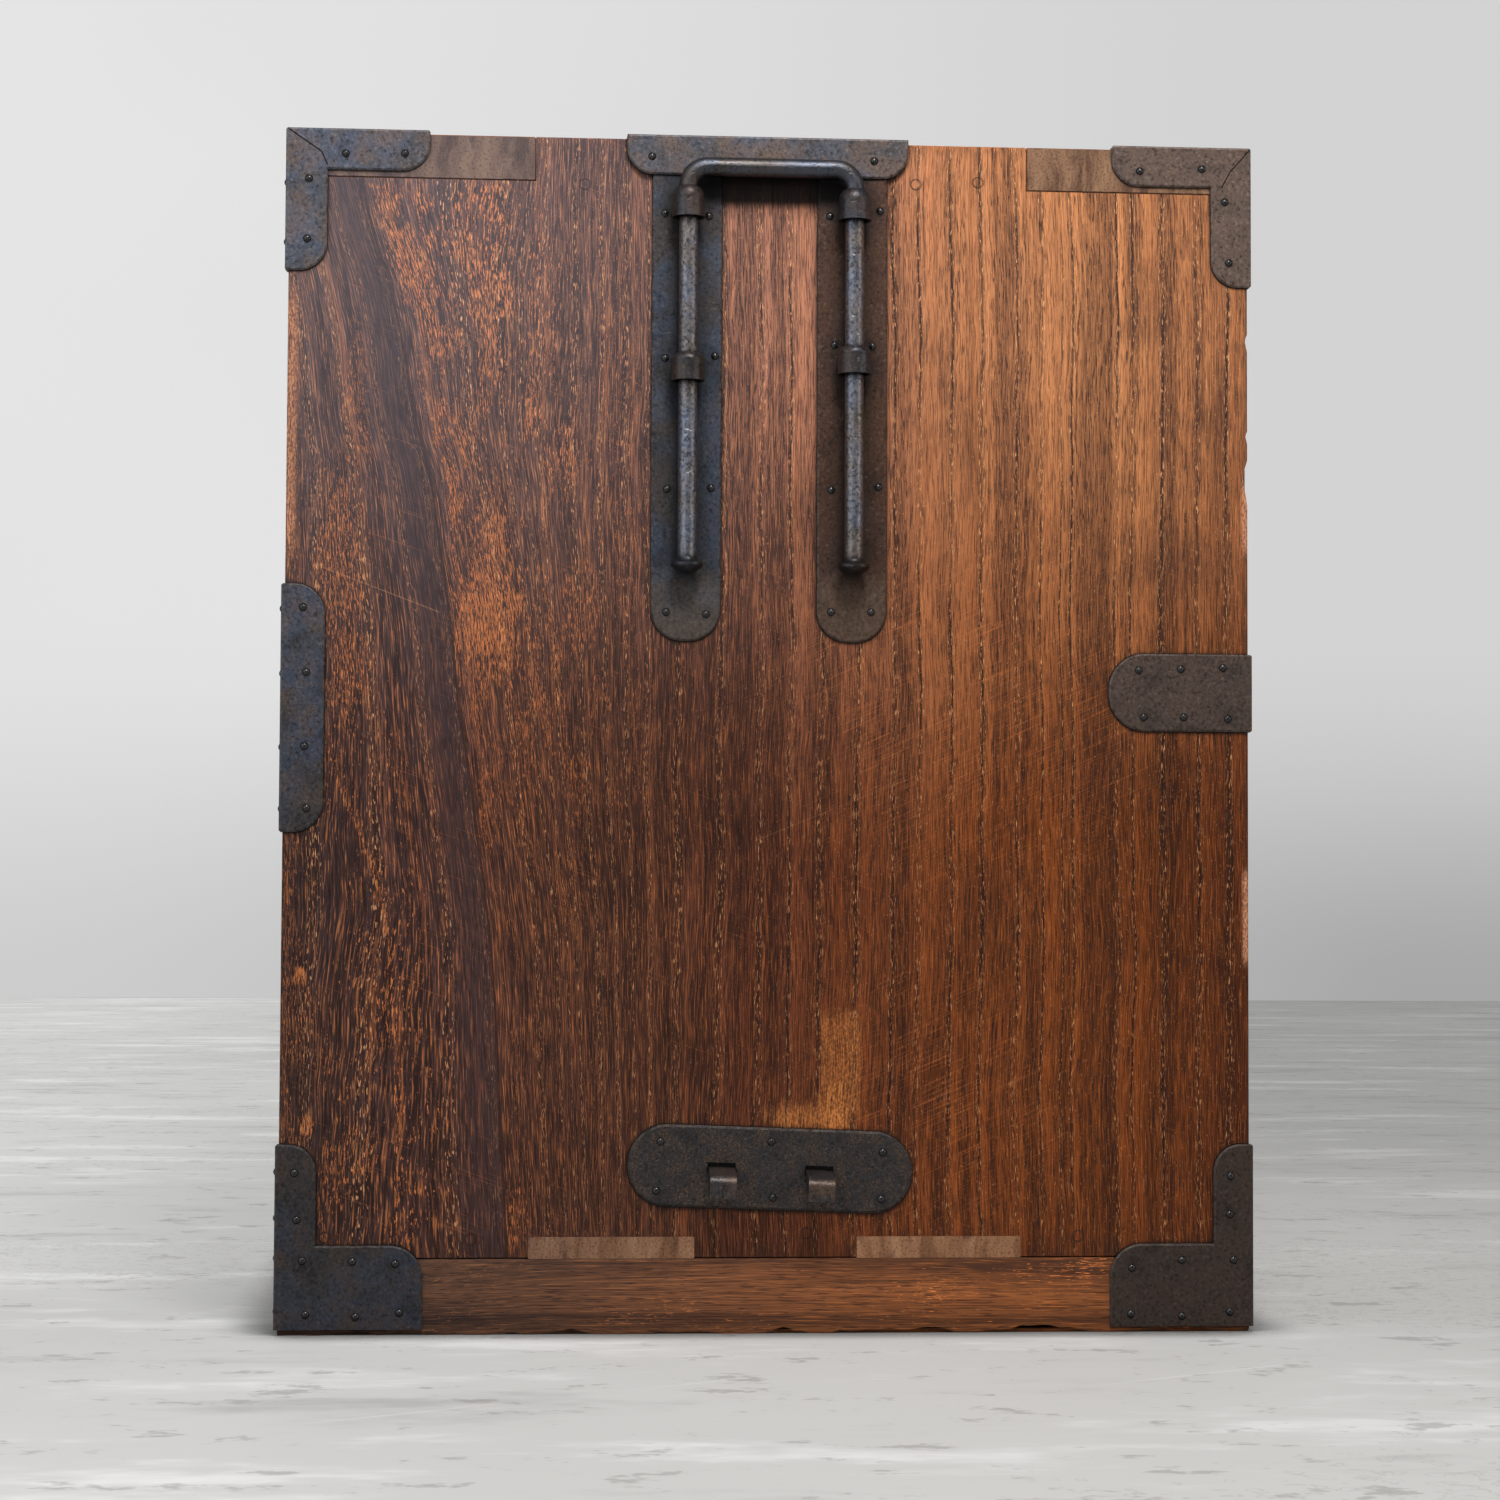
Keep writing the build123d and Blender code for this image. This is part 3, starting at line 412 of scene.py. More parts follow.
# Worn patches of the right end: (distance from the front, height), half sizes, how worn.
WORN_OVALS = (((0.0430, 0.499), (0.008, 0.011), 1.0), ((0.0485, 0.476), (0.0055, 0.012), 0.9),
              ((0.0650, 0.479), (0.005, 0.006), 0.8), ((0.0880, 0.446), (0.006, 0.042), 1.05),
              ((0.0710, 0.438), (0.009, 0.010), 0.9), ((0.0825, 0.405), (0.007, 0.02), 0.8),
              ((0.0885, 0.352), (0.013, 0.03), 0.85), ((0.0900, 0.313), (0.019, 0.028), 1.15),
              ((0.0890, 0.234), (0.005, 0.026), 0.85), ((0.0230, 0.338), (0.013, 0.05), 0.95),
              ((0.0270, 0.292), (0.012, 0.03), 0.95), ((0.0300, 0.405), (0.007, 0.045), 0.85),
              ((0.1030, 0.050), (0.006, 0.018), 0.9),
              ((0.1040, 0.110), (0.004, 0.03), 0.6), ((0.0085, 0.157), (0.003, 0.005), 1.3),
              ((0.0115, 0.091), (0.004, 0.005), 1.2), ((0.0330, 0.195), (0.006, 0.02), 0.6),
              ((0.1110, 0.455), (0.009, 0.05), 0.8), ((0.1470, 0.413), (0.009, 0.08), 0.65))
# Slots that the hooks come through: distance from the front, height.
HOOK_SLOTS = ((0.1942, 0.0735), (0.2374, 0.0720))
# Long scratches of the right end: from, to, how deep, and whether pale.
SCRATCHES = (((0.0145, 0.337), (0.0680, 0.317), 0.22, True), ((0.1745, 0.271), (0.2145, 0.283), 0.8, False),
             ((0.2080, 0.217), (0.2750, 0.2445), 0.08, True), ((0.2660, 0.258), (0.3130, 0.278), 0.06, True))
# Ends of the pegs: distance from the front, height.
PEGS = ((0.1306, 0.5090), (0.2791, 0.5120), (0.3071, 0.5135), (0.0201, 0.0425), (0.0836, 0.0415),
        (0.2316, 0.0440), (0.3526, 0.0425))
# Dark stains: (distance from the front, height), half sizes, how dark.
STAINS = (((0.400, 0.345), (0.024, 0.013), 0.50), ((0.416, 0.395), (0.010, 0.026), 0.40),
          ((0.378, 0.452), (0.016, 0.012), 0.25), ((0.190, 0.268), (0.060, 0.055), 0.30),
          ((0.352, 0.268), (0.020, 0.030), 0.20), ((0.300, 0.190), (0.030, 0.020), 0.18))


def wood_stain(s, own_wear):
    """How much the dark stains of the right end cover the wood."""
    stain = 0.0
    if own_wear:
        ragged = s.times(s.less(s.noise(s.place, (90, 170, 60), 4.0, 0.75), 0.5), 4.0)
        for centre, half, amount in STAINS:
            stain = s.most(stain, s.times(s.oval(centre, half, 0.6, ragged), amount))
    return stain


def end_panel_wood(wood, name, own_wear):
    """The worn end of the chest, its grain upright; own_wear adds the marks of the right end."""
    s = Shader(name)
    drift = s.less(s.noise(s.place, (3, 5, 5), 1.0), 0.5)
    edge = s.curve(s.z, FIGURE_EDGE, 0.0, 0.12)
    from_edge = s.add(s.less(s.y, edge), s.times(drift, 0.004))
    reach = s.math("ABSOLUTE", from_edge)
    follow = s.between(reach, 0.085, 0.0)
    lean = s.times(follow, s.less(edge, 0.0645))
    wave = s.less(s.noise(s.place, (10, 8, 15), 2.0), 0.5)
    across = s.less(s.add(s.add(s.y, s.times(drift, 0.0055)), s.times(wave, 0.0055)), lean)
    grain_place = s.point(s.x, across, s.z)

    # broad colour from front to back, its grey front partly a painted sheen; the painted shade towards the
    # foot comes after the growth lines
    s.colour = s.across_ramp(s.y, 0.0, 0.430, (
        (0.000, tint(79, 60, 60)), (0.055, tint(83, 64, 66)), (0.090, tint(99, 70, 63)),
        (0.140, tint(93, 63, 56)), (0.215, tint(190, 126, 99)), (0.300, tint(204, 133, 86)),
        (0.360, tint(214, 141, 88)), (0.430, tint(162, 101, 60))))
    blotch = s.noise(s.place, (16, 26, 13), 3.0, 0.6)
    s.spread(wood.pore, blotch, 0.48, 0.30, 0.40)
    cloud = s.noise(s.place, (8, 11, 5), 3.0)

    # bands and fibres
    bands = s.noise(grain_place, (60, 110, 1.6), 2.5, 0.6)
    streaked = s.between(s.y, 0.10, 0.22, 0.45, 1.0)
    s.spread(wood.pore, bands, 0.54, 0.39, 0.52, streaked)
    s.spread(wood.bare, bands, 0.55, 0.70, 0.34, streaked)
    streaks = s.noise(grain_place, (300, 620, 12), 3.0, 0.7)
    plainer = s.between(s.y, 0.16, 0.26, 1.0, 0.48)
    s.spread(wood.pore, streaks, 0.52, 0.36, 0.72, plainer)
    s.spread(wood.bare, streaks, 0.54, 0.70, 0.42, plainer)
    fibre = s.noise(grain_place, (700, 2100, 70), 2.0, 0.65)
    softer = s.between(s.y, 0.20, 0.30, 1.0, 0.72)
    s.spread(wood.pore, fibre, 0.52, 0.32, 0.88, softer)
    s.spread(wood.pale, fibre, 0.52, 0.71, 0.60, softer)

    # growth lines: dark on one side, with pale broken flecks along them
    count = len(GROWTH_LINES) - 1
    steps = [(place, number) for number, place in enumerate(GROWTH_LINES)]
    phase = s.math("FRACT", s.curve(across, steps, 0, count))
    rag = s.times(s.less(s.noise(s.place, (50, 260, 120), 1.0), 0.5), 0.10)
    line_place = s.math("PINGPONG", s.add(phase, rag), 0.5)
    broken = s.noise(s.place, (40, 60, 9), 2.0)
    right_part = s.between(s.y, 0.08, 0.24, 0.30, 1.0)
    line = s.times(s.between(line_place, 0.080, 0.0), s.between(broken, 0.38, 0.58, 0.25, 1.0))
    s.lay(wood.pore, line, right_part)
    s.spread(wood.pore, phase, 0.0, 1.0, 0.26, right_part)

    # painted shade towards the foot; the bare wood and the flecks get about half of it
    s.colour = s.painted_foot_shade(s.colour, cloud)
    bare = s.mix(0.55, wood.bare, s.painted_foot_shade(wood.bare, cloud))
    fleck = s.mix(0.45, wood.fleck, s.painted_foot_shade(wood.fleck, cloud))
    low_part = s.between(s.z, 0.46, 0.24)
    s.spread(bare, fibre, 0.54, 0.71, 0.48, low_part)
    s.spread(tint(26, 15, 11), fibre, 0.47, 0.31, 0.55, low_part)

    # worn flecks
    dash = s.noise(grain_place, (900, 2700, 230), 2.5, 0.68)
    fields = s.noise(grain_place, (40, 85, 24), 4.0, 0.68)
    beyond = s.times(s.between(from_edge, 0.000, 0.006), s.between(from_edge, 0.125, 0.040, 0.25, 1.0),
                     s.between(from_edge, 0.30, 0.12), s.between(s.z, 0.10, 0.36, 0.50, 1.0))
    before = s.times(s.between(from_edge, -0.012, -0.034), s.between(s.z, 0.03, 0.46, 0.80, 0.50))
    near_lines = s.times(s.between(line_place, 0.26, 0.06), s.between(s.y, 0.24, 0.31, 0.85, 0.55),
                         s.between(s.z, 0.08, 0.45, 0.50, 0.80))
    column = s.times(s.between(s.off(across, 0.338), 0.016, 0.005), 0.62, s.between(s.z, 0.22, 0.34))
    wear = s.most(beyond, before, near_lines, column, s.between(s.z, 0.524, 0.529, 0.0, 0.95))
    wear = s.times(wear, s.between(fields, 0.38, 0.60, 0.16, 1.06))
    bare_extra = glow_extra = 0.0
    if own_wear:
        ragged = s.times(s.less(s.noise(s.place, (90, 260, 60), 3.0, 0.7), 0.5), 2.6)
        for centre, half, amount in WORN_OVALS:
            wear = s.most(wear, s.times(s.oval(centre, half, 0.55, ragged), amount))
        # the line of the lower figure, worn bare, and the wood behind it
        low_edge = s.curve(s.z, LOWER_EDGE, 0.0, 0.06)
        off = s.add(s.less(s.y, low_edge), s.times(drift, 0.003))
        in_reach = s.between(s.z, 0.285, 0.262)
        stroke = s.times(s.between(s.math("ABSOLUTE", off), 0.0013, 0.0004), in_reach)
        fan = s.times(s.within(off, -0.001, 0.0005, 0.001, 0.012), s.times(in_reach, 0.78))
        wear = s.most(wear, stroke, fan, s.times(s.between(s.y, 0.012, 0.002), 0.85))
        # bare strips at the front and the rear edge, and a pale patch above the hooks
        frayed = s.times(s.less(fibre, 0.5), 0.012)
        broken_fibre = s.between(fibre, 0.34, 0.56, 0.10, 0.80)
        strip = s.times(s.between(s.add(s.y, frayed), 0.0052, 0.0030), s.between(s.z, 0.335, 0.350),
                        s.between(s.z, 0.463, 0.450), broken_fibre)
        pale = s.block_patch((0.2375, 0.2560), (0.090, 0.146), s.times(ragged, 0.0006))
        glow = s.oval((0.2440, 0.0975), (0.0065, 0.014), 0.40, s.times(ragged, 0.45))
        low_glow = s.oval((0.2270, 0.0945), (0.013, 0.0055), 0.60, s.times(ragged, 0.6))
        glow = s.most(glow, s.times(low_glow, 0.7))
        glow_extra = s.most(s.times(pale, s.between(fibre, 0.30, 0.60, 0.06, 0.42)),
                            s.times(glow, broken_fibre))
        worn_rear = s.most(s.within(s.z, 0.344, 0.352, 0.376, 0.386),
                           s.within(s.z, 0.160, 0.168, 0.200, 0.208))
        bare_extra = s.most(strip, s.times(s.between(s.y, 0.4262, 0.4285), worn_rear, 0.8))
    limit = s.less(0.755, s.times(wear, 0.23))
    flecked = s.between(s.less(dash, limit), 0.0, 0.04)
    s.lay(wood.pore, s.math("MINIMUM", wear, 1.0), 0.34)
    s.lay(bare, flecked, 0.97)
    s.lay(fleck, flecked, s.between(dash, 0.64, 0.76), 0.8)
    bright = s.noise(grain_place, (900, 2500, 260), 1.0)
    beside_lines = s.times(s.between(line_place, 0.17, 0.05), s.between(s.z, 0.02, 0.25, 0.80, 0.95))
    s.lay(fleck, s.between(bright, 0.61, 0.68), beside_lines)
    speck = s.noise(s.place, (700, 1300, 620), 1.0)
    tiny = s.times(s.between(speck, 0.67, 0.72), s.between(s.add(s.y, s.times(s.z, 0.3)), 0.10, 0.36))
    s.lay(fleck, tiny, 0.30)
    s.lay(wood.pore, wood_stain(s, own_wear), s.between(streaks, 0.58, 0.36, 0.45, 1.0))

    # the dark, smooth band beside the figure's edge, and its hairline
    s.lay(tint(54, 41, 43), s.within(from_edge, -0.026, -0.008, -0.0012, 0.0012), 0.66)
    s.lay(wood.pore, s.between(reach, 0.0010, 0.0002), 0.8)

    # open pores, darkest of all
    pores = s.noise(grain_place, (1000, 2400, 170), 1.0)
    pore_mask = s.times(s.between(pores, 0.56, 0.66), s.between(bands, 0.62, 0.42, 0.45, 1.0))
    s.lay(wood.pore, pore_mask, 0.85)

    # scratches across the grain
    rising = s.noise(s.turned(s.place, (math.radians(24), 0, 0), (200, 30, 2300)), detail=1.0)
    falling = s.noise(s.turned(s.place, (math.radians(-19), 0, 0), (200, 24, 1900)), detail=1.0)
    hatch = s.most(s.oval((0.309, 0.275), (0.085, 0.075), 0.6), s.oval((0.284, 0.10), (0.060, 0.055), 0.6))
    marks = s.most(s.times(s.between(rising, 0.60, 0.66), hatch),
                   s.times(s.between(falling, 0.68, 0.73), 0.5))
    s.lay(bare, marks, s.between(speck, 0.34, 0.56, 0.25, 1.0), 0.42)
    if own_wear:
        for start, end, depth, is_pale in SCRATCHES:
            mark = s.times(s.stroke(start, end, 0.0004), s.between(speck, 0.35, 0.6, 0.2, 1.0))
            s.lay(wood.fleck if is_pale else wood.pore, mark, depth)

    # darker along the foot and the edges; then dark slots, peg rings, worn patches, and painted sheen, shadow
    # and shade
    rim = s.most(s.between(s.off(s.y, 0.215), 0.2110, 0.2150), s.between(s.z, 0.048, 0.034))
    s.lay(wood.pore, rim, 0.30)
    # painted shade: near-black ovals in the slots that the hooks come through
    for slot_place in HOOK_SLOTS:
        s.lay(tint(12, 10, 10), s.oval(slot_place, (0.0085, 0.0055), 0.15))
    for place in PEGS:
        s.lay(wood.pore, s.ring(place, 0.0023, 0.0006), 0.6)
    # painted sheen: the cool window light's reflection on the upper front of the end
    painted_sheen = s.times(s.between(s.y, 0.30, 0.06, 0.15, 1.0), s.between(s.z, 0.22, 0.50, 0.0, 0.10))
    s.lay(wood.sheen, painted_sheen)
    s.lay(s.mix(s.between(speck, 0.40, 0.60), tint(146, 94, 70), tint(208, 148, 112)), bare_extra)
    s.lay(s.mix(s.between(speck, 0.40, 0.60), tint(142, 86, 44), tint(206, 130, 68)), glow_extra)
    # painted shadow of the handle's bar
    s.lay(tint(10, 8, 8), s.bar_shadow(), 0.94)
    # painted shade with some dirt: narrow round the fittings and nails, and wide under the handle as the
    # shadow of its bar and rods
    s.lay(tint(14, 10, 9), s.grime_and_shade(0.0024, 0.95, 0.96, 0.62))
    s.lay(tint(14, 11, 11), s.grime_and_shade(0.0180, 0.85, 0.78, 0.42))

    relief = s.add(s.times(fibre, 0.5), s.times(bands, 0.6))
    relief = s.less(relief, s.times(pore_mask, 0.5))
    relief = s.less(relief, s.times(line, 0.6))
    normal = s.bump(relief, 0.0006, strength=0.55)
    rough = s.add(s.times(s.noise(grain_place, (40, 80, 8), 3.0), 0.30), wood.roughness - 0.13)
    rough = s.add(rough, s.times(flecked, 0.22))
    return s.finish(rough, normal, specular=LACQUER_SHEEN)


def board_wood(wood, name, grain, tones, wear=0.5, seed=0.0, coarse=1.0, gloss=0.0, ends=False,
               front_to_back=None, figure=None):
    """Wood with its grain along one axis; tones are its dark and its light colour.

    front_to_back is a pair of colours to multiply by, and figure the middle of its rings in X and Z.
    """
    s = Shader(name)
    along, first, second = {"X": (s.x, s.y, s.z), "Y": (s.y, s.z, s.x), "Z": (s.z, s.x, s.y)}[grain]
    along = s.add(along, seed)
    drift = s.less(s.noise(s.point(s.times(along, 3), s.times(first, 9), s.times(second, 9))), 0.5)
    first = s.add(first, s.times(drift, 0.016))
    second = s.add(second, s.times(drift, 0.016))

    def grained(along_scale, across_scale):
        return s.point(s.times(along, along_scale), s.times(first, across_scale),
                       s.times(second, across_scale))

    bands = s.noise(grained(1.8, 90 * coarse), detail=3.0, roughness=0.6)
    fibre = s.noise(grained(36, 1700), detail=2.0, roughness=0.65)
    pores = s.noise(grained(120, 1900), detail=1.0)
    dash = s.noise(grained(210, 2600), detail=2.5, roughness=0.66)
    patches = s.noise(grained(9, 22), detail=3.0, roughness=0.65)
    s.colour = tones[0]
    s.spread(tones[1], bands, 0.32, 0.66)
    if figure:
        centre, height = figure
        away = s.length(s.times(s.less(s.x, centre), 0.11), s.less(s.z, height))
        sway = s.less(s.noise(s.point(s.times(s.x, 2.2), seed, s.times(s.z, 7))), 0.5)
        ripple = s.math("FRACT", s.times(s.add(away, s.times(sway, 0.07)), 95))
        s.spread(wood.pore, ripple, 0.25, 1.0, 0.55)
        s.spread(wood.bare, ripple, 0.16, 0.0, 0.30)
    s.spread(wood.pore, fibre, 0.52, 0.28, 0.7)
    s.spread(wood.bare, fibre, 0.54, 0.74, 0.35)
    limit = s.less(0.76, s.times(s.between(patches, 0.35, 0.70), 0.24 * wear))
    flecked = s.between(s.less(dash, limit), 0.0, 0.05)
    s.lay(wood.bare, flecked, 0.75)
    pore_mask = s.between(pores, 0.58, 0.67)
    s.lay(wood.pore, pore_mask, 0.65)
    if front_to_back:
        tone = s.mix(s.between(s.y, 0.06, 0.34), *front_to_back)
        s.colour = s.mix(1.0, s.colour, tone, "MULTIPLY")
    relief = s.less(s.add(s.times(fibre, 0.5), s.times(bands, 0.5)), s.times(pore_mask, 0.4))
    if ends:
        relief = end_grain(s, wood, relief)
    normal = s.bump(relief, 0.0005, strength=0.5)
    rough = s.add(s.times(patches, 0.25), wood.roughness - 0.10 - gloss)
    return s.finish(s.add(rough, s.times(flecked, 0.2)), normal, specular=LACQUER_SHEEN)


def end_grain(s, wood, relief):
    """Covers the board's cut ends, on the sides of the chest, with growth rings seen end on.

    It returns the relief, with that of the cut ends.
    """
    board = s.colour
    at_end = s.between(s.math("ABSOLUTE", s.x), *END_FACE)
    sway = s.less(s.noise(s.place, (9, 16, 24), 2.0), 0.5)
    bow = s.add(s.y, s.times(sway, 0.020))
    rings = s.noise(s.point(s.times(s.x, 5), s.times(bow, 150), s.times(s.z, 26)), detail=3.0, roughness=0.65)
    speck = s.noise(s.place, 900, 2.0, 0.6)
    stain = s.noise(s.place, (40, 75, 55), 3.0, 0.6)
    s.colour = wood.end_grain
    s.spread(wood.pore, rings, 0.54, 0.37, 0.60)
    s.spread(tint(150, 100, 66), s.z, 0.20, 0.08, 0.25)
    s.spread(tint(150, 118, 92), rings, 0.54, 0.66, 0.40)
    s.spread(tint(52, 40, 38), stain, 0.46, 0.32, 0.55)
    s.spread(wood.pore, speck, 0.50, 0.34, 0.5)
    # painted light on the cut ends: a cool painted sheen at the front, and a tone cooler and darker at the
    # front, warmer and lighter at the back
    s.spread(wood.sheen, s.y, 0.24, 0.08, 0.07, s.between(s.z, 0.2, 0.4))
    tone = s.mix(s.between(s.y, 0.08, 0.24), (0.86, 0.92, 1.0, 1.0), (1.22, 1.20, 1.12, 1.0))
    s.colour = s.mix(1.0, s.colour, tone, "MULTIPLY")
    # painted shade, with some dirt, in the corners round the cut ends
    s.lay(tint(18, 13, 12), s.grime_and_shade(0.0045, 0.75))
    s.colour = s.mix(at_end, board, s.colour)
    return s.add(s.times(relief, s.less(1.0, at_end)), s.times(speck, 0.5, at_end))


# ------------------------------------------------------------------ iron
def forged_iron(iron, name, blue=0.4, rust=0.3, pits=0.5, rough=0.0, metallic=0.65, scale=1.0, worn=0.0,
                speckle=0.1, dark=0.0, foot=False, warm_lit_back=None, deep=0.0035, specular=0.5, bright=0.0,
                spots=(), bar_shadowed=False):
    """Blackened forged iron: patches of blue scale and brown rust, hammered a little and pitted.

    Each of the spots fades in between two heights: where it starts, where it is full, share and tone.
    """
    s = Shader(name)
    broad = s.noise(s.place, 38 * scale, 3.0, 0.6)
    patch = s.noise(s.place, 75 * scale, 4.0, 0.7)
    grit = s.noise(s.place, 620, 3.0, 0.7)
    crust = s.noise(s.place, 1100, 2.0, 0.7)
    hollows = s.between(s.noise(s.place, 330), 0.62, 0.74)
    s.colour = iron.black
    s.spread(iron.blue, broad, 0.40, 0.60, blue)
    s.spread(iron.rust, patch, 0.42, 0.62, 1.0, rust)
    # painted warm light: the back part of the piece browner
    if warm_lit_back:
        s.spread(warm_lit_back, s.y, 0.205, 0.225, 0.85)
    s.spread(tint(26, 25, 27), patch, 0.46, 0.32, 0.38)
    s.spread(tint(20, 19, 20), grit, 0.50, 0.30, 0.8)
    s.spread(iron.worn, grit, 0.55, 0.72, 0.30)
    crusted = s.times(s.between(crust, 0.52, 0.64), s.between(patch, 0.42, 0.60, 0.35, 1.0))
    s.lay(tint(158, 130, 104), crusted, speckle)
    if worn:
        rubbed = s.noise(s.place, (240, 900, 90), 2.0)
        s.spread(iron.worn, rubbed, 0.42, 0.70, worn)
    if bright:
        s.lay(iron.worn, s.between(grit, 0.38, 0.60, 0.2 * bright, bright))
    if dark:
        s.lay(tint(14, 13, 14), dark)
    # foot: the bevels lighter, partly wear and partly a painted highlight where light catches them; then
    # painted shade, the iron darker towards the foot
    if foot:
        s.lay(iron.worn, s.edge_wear_and_highlight(), s.between(grit, 0.40, 0.62, 0.04, 0.28))
        s.lay(tint(8, 6, 5), s.between(s.z, 0.10, 0.49, 0.61, 0.0))
    for start, end, amount, tone in spots:
        s.spread(tone, s.z, start, end, 1.0, s.between(grit, 0.36, 0.60, 0.6 * amount, amount))
    # painted shadow of the handle's bar
    if bar_shadowed:
        s.lay(tint(10, 9, 10), s.bar_shadow(), 0.85)
    # painted shade with some dirt where the iron meets other parts; on the rods, collars and strips it
    # reaches far and darkens their sides
    s.lay(tint(7, 6, 6), s.grime_and_shade(deep, 0.90))
    relief = s.add(s.times(grit, 0.22 * pits + 0.08), s.times(s.cells(s.shaken(0.0015), 120 * scale), 0.35))
    relief = s.less(relief, s.times(hollows, 0.5 * pits))
    normal = s.bump(relief, 0.0007, strength=0.5)
    rough_map = s.add(s.times(patch, 0.30), iron.roughness - 0.13 + rough)
    return s.finish(rough_map, normal, metallic=metallic, specular=specular)


# ------------------------------------------------------------------ modelling helpers
def mode(name):
    bpy.ops.object.mode_set(mode=name)


def pick(action):
    bpy.ops.mesh.select_all(action=action)


def deselect():
    if bpy.context.mode != "OBJECT":
        mode("OBJECT")
    bpy.ops.object.select_all(action="DESELECT")


def settle(piece, body):
    """Puts a finished piece's place into its mesh, and lets it ride on its body."""
    deselect()
    piece.select_set(True)
    bpy.context.view_layer.objects.active = piece
    bpy.ops.object.transform_apply()
    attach(piece, body)
    return piece


def start_block(name, low, high):
    """A block between two corners, ready to be shaped."""
    deselect()
    bpy.ops.mesh.primitive_cube_add(size=1.0, location=(low + high) / 2)
    piece = bpy.context.object
    piece.name = name
    piece.data.name = name
    piece.scale = high - low
    bpy.ops.object.transform_apply()
    return piece


# ------------------------------------------------------------------ operators
class CHEST_OT_end_panels(bpy.types.Operator):
    """Finish the two end panels in worn lacquered wood"""
    bl_idname = "chest.end_panels"
    bl_label = "End panels"

    def execute(self, context):
        wood = context.scene.chest_wood
        assign(end_panel_wood(wood, "worn_end_wood", True), "side_panel_right")
        assign(end_panel_wood(wood, "left_end_wood", False), "side_panel_left")
        assign(end_panel_wood(wood, "peg_wood", False), "carcass_pegs")
        return {"FINISHED"}


class CHEST_OT_boards(bpy.types.Operator):
    """Finish the top, bottom, front rails and back"""
    bl_idname = "chest.boards"
    bl_label = "Boards and rails"

    def execute(self, context):
        wood = context.scene.chest_wood
        top = board_wood(wood, "top_wood", "X", (tint(84, 52, 40), tint(132, 80, 52)), 0.7, 1.3, ends=True)
        bottom = board_wood(wood, "bottom_wood", "X", (tint(82, 52, 39), tint(118, 76, 52)), 0.5, 2.1,
                            ends=True)
        rails = board_wood(wood, "front_rail_wood", "X", (tint(70, 42, 32), tint(106, 64, 44)), 0.55, 3.4)
        back = board_wood(wood, "back_wood", "Z", (tint(128, 98, 70), tint(164, 130, 94)), 0.3, 5.0)
        dust = board_wood(wood, "dust_board_wood", "X", (tint(140, 108, 76), wood.inside), 0.2)
        assign(top, "top_board")
        assign(bottom, "bottom_board")
        assign(rails, "base_cross_rails", "divider_rail")
        assign(back, "back_boards")
        assign(dust, "dust_board")
        return {"FINISHED"}


class CHEST_OT_base_rails(bpy.types.Operator):
    """Make the base rails of the two ends, their lower edges chipped by use"""
    bl_idname = "chest.base_rails"
    bl_label = "Worn base rails"

    def execute(self, context):
        wood = context.scene.chest_wood
        # the rail's tone, cooler and darker at the front and warmer and lighter at the back, is partly its
        # own and partly painted light of the cool and the warm lamp
        rail = board_wood(wood, "rail_wood", "Y", (tint(64, 40, 28), tint(116, 72, 45)), 0.95, 0.4,
                          front_to_back=((0.66, 0.82, 1.1, 1.0), (1.45, 1.30, 1.0, 1.0)))
        for side in SIDES:
            node = f"base_rail_{side}"
            low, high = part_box(node)
            piece = start_block(f"worn_{node}", low, high)
            outer, inward = (high.x, -1) if side == "right" else (low.x, 1)
            mode("EDIT")
            bpy.ops.mesh.select_mode(type="EDGE")
            pick("SELECT")
            bpy.ops.mesh.bevel(offset=0.0007, segments=2)
            for place, across in (((0.0, 0.0, low.z + CHIP_BAND), (0.0, 0.0, 1.0)),
                                  ((outer + inward * CHIP_BAND, 0.0, 0.0), (1.0, 0.0, 0.0))):
                pick("SELECT")
                bpy.ops.mesh.bisect(plane_co=place, plane_no=across)
            pick("DESELECT")
            mode("OBJECT")
            mesh = piece.data
            for edge in mesh.edges:
                first, last = (mesh.vertices[number].co for number in edge.vertices)
                edge.select = abs(first.y - last.y) > (high.y - low.y) / 2
            mode("EDIT")
            bpy.ops.mesh.subdivide(number_cuts=CHIP_STEPS)
            mode("OBJECT")
            group = piece.vertex_groups.new(name="lower_edge")
            for vertex in mesh.vertices:
                if max(vertex.co.z - low.z, abs(vertex.co.x - outer)) < CHIP_REACH:
                    group.add([vertex.index], 1.0, "REPLACE")
            chips = bpy.data.textures.new(f"chips_{side}", "CLOUDS")
            chips.noise_scale = 0.018
            chips.noise_depth = 3
            chips.contrast = 2.4
            chips.intensity = 0.72
            displace = piece.modifiers.new("chips", "DISPLACE")
            displace.texture = chips
            displace.texture_coords = "LOCAL"
            displace.direction = "Z"
            displace.mid_level = 0.0
            displace.strength = CHIP_DEPTH
            displace.vertex_group = "lower_edge"
            bpy.ops.object.modifier_apply(modifier="chips")
            for vertex in mesh.vertices:
                vertex.co.z = max(vertex.co.z, low.z)
            bpy.ops.object.shade_smooth_by_angle(angle=math.radians(35))
            mesh.materials.append(rail)
            settle(piece, "carcass")
            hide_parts(node)
        return {"FINISHED"}


